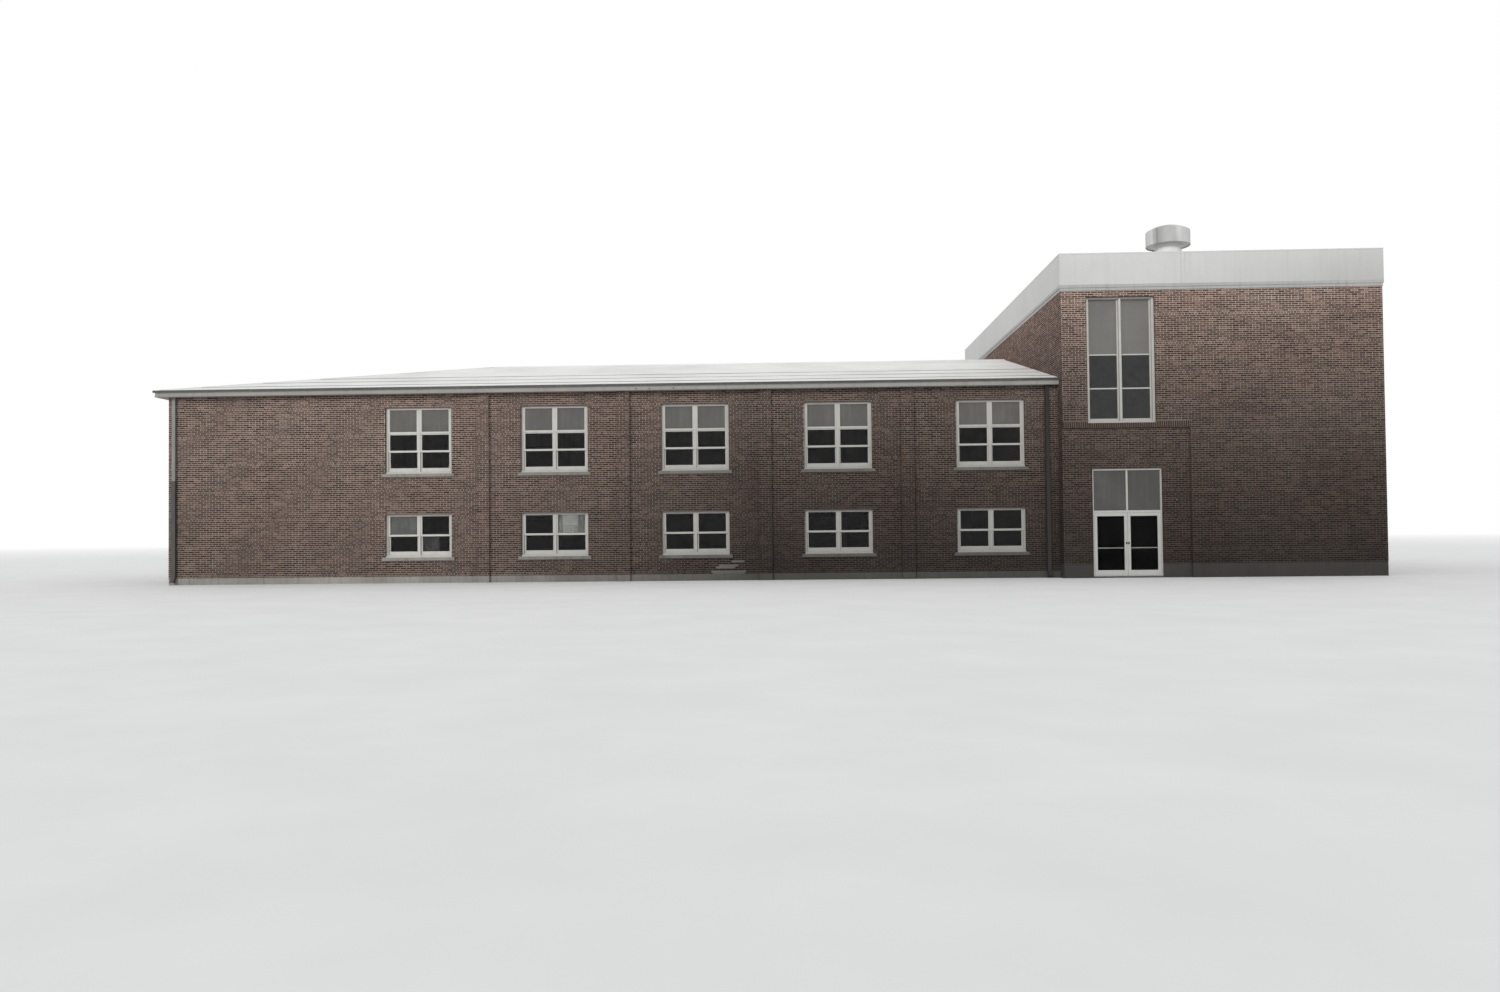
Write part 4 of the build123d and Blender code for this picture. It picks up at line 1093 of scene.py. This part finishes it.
class SCHOOL_OT_ventilator(bpy.types.Operator):
    """Make the ventilator's hood of spun sheet and the bands and flashing below it"""
    bl_idname = "school.ventilator"
    bl_label = "Ventilator"

    bead: length("Rim bead", "Radius of the rolled rim", 0.014)
    mesh: length("Screen mesh", "Distance between the wires of the bird screen", 0.0127)
    wire_share: number("Wire share", "Share of the mesh that a wire takes up", 0.45)
    skirt: length("Skirt", "Height of the hood's shoulder over its rim", 0.48)
    segments: IntProperty(name="Segments", description="Sides of the round pieces", default=96, min=24)

    def execute(self, context):
        finish = context.scene.school_finish
        low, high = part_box("vent_hood")
        centre, radius = (low + high) / 2, (high.x - low.x) / 2
        throat_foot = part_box("vent_throat")[0].z + 0.01
        throat = max((v.co.xy - centre.xy).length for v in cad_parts["vent_throat"].data.vertices
                     if v.co.z < throat_foot)

        def hood_painted_light(tree):
            """Painted light and shade across the hood, from its left to its right."""
            across = tree.between(tree.parts(tree.place())["X"], low.x, high.x)
            return tree.ramp(across, [(place, (grey, grey, 0.99 * grey)) for place, grey in HOOD_PAINTED_LIGHT])

        def wires(tree):
            """Wires both ways, with dark meshes between them."""
            parts = tree.parts(tree.place())
            lines = []
            for axis in "XY":
                fraction = tree.math("FRACT", tree.math("MULTIPLY", parts[axis], 1 / self.mesh))
                lines.append(tree.math("LESS_THAN", fraction, self.wire_share))
            # the near-white wire is painted light, for light bounced up under the hood
            return tree.mix(tree.math("MAXIMUM", *lines), full(finish.dust), full(finish.screen))

        # the curb, the hood and its bands carry the hood's painted light and shade
        metal = dress(material("vent_metal", hood_painted_light, metallic=0.15), "vent_curb")
        hood, screen = Shape(), Shape()
        hood.lathe(centre, self.hood_profile(radius, low.z, high.z), self.segments)
        make_piece("vent_hood_shell", hood, metal, instead_of=("vent_hood",), smooth=True)
        inner, outer, level = throat + SET_IN, radius - 0.018, low.z + 2.6 * self.bead
        thick = 0.003
        screen.lathe(centre, ((inner, level), (outer, level), (outer, level + thick), (inner, level + thick)),
                     self.segments)
        make_piece("vent_bird_screen", screen, material("bird_screen", wires))
        # the pale throat is painted light
        dress(material("vent_throat_metal", finish.throat_painted_light), "vent_throat")
        make_piece("vent_bands", self.details(centre, radius, throat, low.z), metal, smooth=True)
        return {"FINISHED"}

    def hood_profile(self, radius, rim, top):
        """Rolled rim, upright skirt and flat dome of the hood, as (radius, level), and back inside."""
        bead, shoulder, hub = self.bead, rim + self.skirt, 0.012
        rise = top + 0.0015 - shoulder
        dome = (radius ** 2 + rise ** 2) / (2 * rise)
        profile = [(radius - bead + bead * math.cos(a), rim + bead + bead * math.sin(a))
                   for a in np.radians((170, 215, 260, 305, 350))]
        profile += [(radius - 0.006, rim + 2.4 * bead), (radius - 0.004, shoulder - 0.02)]
        for r in np.linspace(radius - 0.014, hub, 16):
            profile.append((r, shoulder - dome + rise + math.sqrt(dome ** 2 - r ** 2)))
        inner = radius - 0.016
        return profile + [(hub, shoulder - 0.02), (inner, shoulder - 0.02), (inner, rim + 2.4 * bead)]

    def details(self, centre, radius, throat, rim):
        """Two bands round the throat, the two seams of the hood and the flashing of the curb."""
        shape = Shape()
        curb_low, curb_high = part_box("vent_curb")
        band = (-0.002, 0.0), (0.010, 0.006), (0.010, 0.022), (-0.002, 0.028)
        for level in (curb_high.z + 0.02, curb_high.z + 0.42):
            shape.lathe(centre, [(throat + out, level + up) for out, up in band], self.segments)
        seam = (-0.02, -0.004), (-0.018, 0.003), (0.018, 0.003), (0.02, -0.004)
        for turn in (math.radians(-137), math.radians(43)):
            way = Vector((math.cos(turn), math.sin(turn), 0))
            across = UP.cross(way)
            spot = Vector((centre.x, centre.y, 0)) + way * (radius - 0.0045)
            shape.tube([[tuple(spot + across * o + way * p + UP * z) for o, p in seam]
                        for z in (rim + 2.5 * self.bead, rim + self.skirt - 0.03)])
        foot = curb_low.z
        flashing = (0.09, foot), (0.09, foot + 0.004), (0.004, foot + 0.09), (0.004, foot + 0.24)
        shape.tube([[(curb_low.x - o, curb_low.y - o, z), (curb_high.x + o, curb_low.y - o, z),
                     (curb_high.x + o, curb_high.y + o, z), (curb_low.x - o, curb_high.y + o, z)]
                    for o, z in flashing])
        return shape


# ---- Entrance ----

class SCHOOL_OT_entrance(bpy.types.Operator):
    """Finish the entrance: doors, glass, push bars, glazing beads, locks, bell and threshold"""
    bl_idname = "school.entrance"
    bl_label = "Entrance"

    bead: length("Door bead", "Width of the beads round the door panes", 0.006)
    lock_level: length("Lock level", "Height of the locks over the ground", 1.084)
    plate_height: length("Lock plate height", "Height of a lock plate", 0.072)
    plate_width: length("Lock plate width", "Width of a lock plate", 0.050)
    bell_place: FloatVectorProperty(name="Bell", description="Middle of the bell box beside the doors",
                                    default=(13.15, -9.1, 2.416), subtype="TRANSLATION", unit="LENGTH")

    def execute(self, context):
        finish = context.scene.school_finish
        door = material("door_paint", finish.door, damp=-0.3, metallic=0.15)
        dress(door, "entrance_frame", "left_door_leaf", "right_door_leaf")
        bar = material("bar_metal", finish.bar, metallic=0.2)
        dress(bar, "left_push_bar", "right_push_bar")
        pane = glass_material("door_glass", finish.glass, 0.02, 1.13)
        dress(pane, "left_door_glass", "right_door_glass")
        for side in ("left", "right"):
            low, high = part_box(side + "_door_glass")
            beads = Shape()
            beads.picture_frame(low, high, low.y, -self.bead * 0.8, self.bead)
            beads.picture_frame(low, high, high.y, self.bead * 0.8, self.bead)
            make_piece(side + "_door_beads", beads, door, side + "_door")
        dark = material("lock_metal", finish.lock, metallic=0.5)
        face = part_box("left_door_glass")[0].y - 0.0195
        z, half = self.lock_level, self.plate_height / 2
        plate, corner = 0.006, 0.003
        for side, sign in (("left", -1), ("right", 1)):
            leaf_low, leaf_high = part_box(side + "_door_leaf")
            edge = leaf_low.x + 0.006 if sign == 1 else leaf_high.x - 0.006
            x0, x1 = sorted((edge, edge + sign * self.plate_width))
            lock = Shape()
            lock.block((x0, face - plate, z - half), (x1, face, z + half), corner)
            lock.knob((x0 + x1) / 2, face - plate, z,
                      ((0.0, 0.019), (0.016, 0.019), (0.020, 0.015), (0.020, 0.006), (0.014, 0.004)))
            make_piece(side + "_door_lock", lock, dark, side + "_door")
        x, y, z = self.bell_place
        bell = Shape()
        bell.block((x - 0.045, y - 0.040, z - 0.055), (x + 0.055, y - 0.004, z + 0.055), 0.006)
        bell.block((x + 0.010, y - 0.024, z + 0.055), (x + 0.030, y - 0.005, z + 0.255), 0.004)
        bell.block((x + 0.012, y - 0.024, z - 0.205), (x + 0.030, y - 0.005, z - 0.055), 0.004)
        case = material("bell_case", finish.downspout_dark, specular=0.3)
        make_piece("bell_box", bell, case)
        button = Shape()
        button.knob(x - 0.015, y - 0.040, z + 0.008,
                    ((0.0, 0.018), (0.006, 0.018), (0.010, 0.014), (0.012, 0.004)))
        # the button takes the grey of the painted lap shade
        make_piece("bell_button", button, material("bell_button", finish.lap_shade))
        threshold = Shape()
        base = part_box("hall_floor")[1].z
        x0, x1, y0 = entrance_low.x + 0.052, entrance_high.x - 0.052, hall_low.y + 0.1
        for n in range(6):
            y = y0 + 0.03 + n * 0.026
            threshold.block((x0, y, base), (x1, y + 0.016, base + 0.006), 0.002)
        threshold.block((x0, y0 + 0.02, base), (x1, y0 + 0.20, base + 0.003))
        make_piece("entrance_threshold", threshold, bar)
        return {"FINISHED"}


# ---- Downspouts ----

STRAPS = (1.52, 3.77, 5.52)  # levels of the straps that hold the pipes
UPPER_JOINT = 4.6


class SCHOOL_OT_downspouts(bpy.types.Operator):
    """Finish the two downspouts, their strap bolts and joints"""
    bl_idname = "school.downspouts"
    bl_label = "Downspouts"

    change_level: length("Change level", "Height at which the heavier lower pipe begins", 3.4)

    def execute(self, context):
        finish = context.scene.school_finish
        level = self.change_level

        def lengths(tree):
            parts = tree.parts(tree.place())
            heavy = tree.mix(tree.math("LESS_THAN", parts["Z"], level), full(finish.downspout),
                             full(finish.downspout_low))
            return tree.mix(tree.math("GREATER_THAN", parts["X"], 0.0), heavy, full(finish.downspout_dark))

        metal = material("downspout_metal", lengths, specular=0.3)
        dress(metal, "downspouts")
        details = Shape()
        for low, high in solid_boxes("downspouts"):
            middle = (low[0] + high[0]) / 2
            back = high[1]
            for z in STRAPS:
                for side in (-1, 1):
                    x0, x1 = sorted((middle + side * 0.06, middle + side * 0.085))
                    details.block((x0, back - 0.012, z - 0.014), (x1, back, z + 0.014), 0.002)
            for z in (level - 0.01, UPPER_JOINT):
                details.block((middle - 0.066, back - 0.111, z - 0.02),
                              (middle + 0.066, back - 0.016, z + 0.02), 0.004)
        make_piece("downspout_fittings", details, metal)
        return {"FINISHED"}


# ---- Stage ----

def camera_axes(stage):
    """Right, up and forward of the camera."""
    yaw, pitch, roll = stage.yaw, stage.pitch, stage.roll
    forward = Vector((math.sin(yaw) * math.cos(pitch), math.cos(yaw) * math.cos(pitch), math.sin(pitch)))
    level = Vector((math.cos(yaw), -math.sin(yaw), 0))
    above = level.cross(forward)
    right = level * math.cos(roll) + above * math.sin(roll)
    return right, -level * math.sin(roll) + above * math.cos(roll), forward


class SCHOOL_OT_stage(bpy.types.Operator):
    """Set up the plain floor, the soft light and the camera"""
    bl_idname = "school.stage"
    bl_label = "Stage"

    def execute(self, context):
        stage = context.scene.school_stage
        scene = context.scene
        size = stage.floor_size
        mesh = bpy.data.meshes.new("floor")
        corners = [(x * size, y * size, 0) for x, y in ((-1, -1), (1, -1), (1, 1), (-1, 1))]
        mesh.from_pydata(corners, [], [(0, 1, 2, 3)])
        floor = bpy.data.objects.new("floor", mesh)
        scene.collection.objects.link(floor)
        made, tree = new_material("floor")
        place = tree.place()
        tone = tree.between(tree.noise(0.6, 4.0, place), 0.3, 0.7, 0.97, 1.03)
        shader = tree.node("ShaderNodeBsdfPrincipled", {
            "Base Color": tree.darkened(full(stage.floor_tone), tone), "Roughness": 0.9})
        far = tree.node("ShaderNodeVectorMath", {0: place}, operation="LENGTH").outputs["Value"]
        glow = tree.node("ShaderNodeEmission", {"Color": (1, 1, 1, 1), "Strength": 1.0})
        fade = tree.between(far, 60.0, 220.0)
        tree.surface(tree.node("ShaderNodeMixShader", {0: fade, 1: shader.outputs[0], 2: glow.outputs[0]}))
        mesh.materials.append(made)

        world = bpy.data.worlds.new("soft_sky")
        scene.world = world
        world.use_nodes = True
        world.node_tree.nodes.clear()
        tree = Tree(world.node_tree)
        path = tree.node("ShaderNodeLightPath").outputs
        seen = tree.math("MAXIMUM", path["Is Camera Ray"],
                         tree.math("MAXIMUM", path["Is Glossy Ray"], path["Is Transmission Ray"]))
        soft = tree.node("ShaderNodeBackground", {"Color": (0.97, 0.985, 1.0, 1),
                                                  "Strength": stage.sky_strength})
        white = tree.node("ShaderNodeBackground", {"Color": (1, 1, 1, 1), "Strength": 1.0})
        both = tree.node("ShaderNodeMixShader", {0: seen, 1: soft.outputs[0], 2: white.outputs[0]})
        tree.put(both.outputs[0], tree.node("ShaderNodeOutputWorld").inputs["Surface"])

        lamp = bpy.data.lights.new("key", "SUN")
        lamp.energy = stage.sun_strength
        lamp.angle = math.radians(14)
        lamp.color = (1.0, 0.985, 0.96)
        key = bpy.data.objects.new("key", lamp)
        key.rotation_mode = "QUATERNION"
        key.rotation_quaternion = Vector((0.32, 0.84, -0.36)).to_track_quat("-Z", "Y")
        key.location = (-30, -40, 40)
        scene.collection.objects.link(key)

        data = bpy.data.cameras.new("camera")
        data.sensor_width = 36.0
        data.sensor_fit = "HORIZONTAL"
        data.lens = stage.lens
        data.shift_y = stage.shift_y
        data.clip_end = 1000.0
        camera = bpy.data.objects.new("camera", data)
        right, above, forward = camera_axes(stage)
        turn = Matrix((right, above, -forward)).transposed().to_4x4()
        camera.matrix_world = Matrix.Translation(stage.camera_place) @ turn
        scene.collection.objects.link(camera)
        scene.camera = camera
        scene.view_settings.view_transform = "Standard"
        return {"FINISHED"}


# ---- Panel and registration ----

OPERATORS = (SCHOOL_OT_stage, SCHOOL_OT_brickwork, SCHOOL_OT_masonry, SCHOOL_OT_windows, SCHOOL_OT_wing_roof,
             SCHOOL_OT_parapet, SCHOOL_OT_ventilator, SCHOOL_OT_entrance, SCHOOL_OT_downspouts)
SETTINGS = {"school_brick": SchoolBrickSettings, "school_finish": SchoolFinishSettings,
            "school_roof": SchoolRoofSettings, "school_stage": SchoolStageSettings}


class SCHOOL_PT_panel(bpy.types.Panel):
    """Lists the pieces of the school building"""
    bl_label = "School Building"
    bl_idname = "SCHOOL_PT_panel"
    bl_space_type = "VIEW_3D"
    bl_region_type = "UI"
    bl_category = "School"

    def draw(self, context):
        for operator in OPERATORS:
            self.layout.operator(operator.bl_idname)


def register():
    for group in SETTINGS.values():
        bpy.utils.register_class(group)
    for operator in OPERATORS:
        bpy.utils.register_class(operator)
    bpy.utils.register_class(SCHOOL_PT_panel)
    for name, group in SETTINGS.items():
        setattr(bpy.types.Scene, name, PointerProperty(type=group))


def unregister():
    for name in SETTINGS:
        delattr(bpy.types.Scene, name)
    bpy.utils.unregister_class(SCHOOL_PT_panel)
    for operator in reversed(OPERATORS):
        bpy.utils.unregister_class(operator)
    for group in reversed(SETTINGS.values()):
        bpy.utils.unregister_class(group)


def main():
    """Register the add-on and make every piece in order."""
    register()
    for operator in OPERATORS:
        area, action = operator.bl_idname.split(".")
        getattr(getattr(bpy.ops, area), action)()


if __name__ == "__main__":
    main()
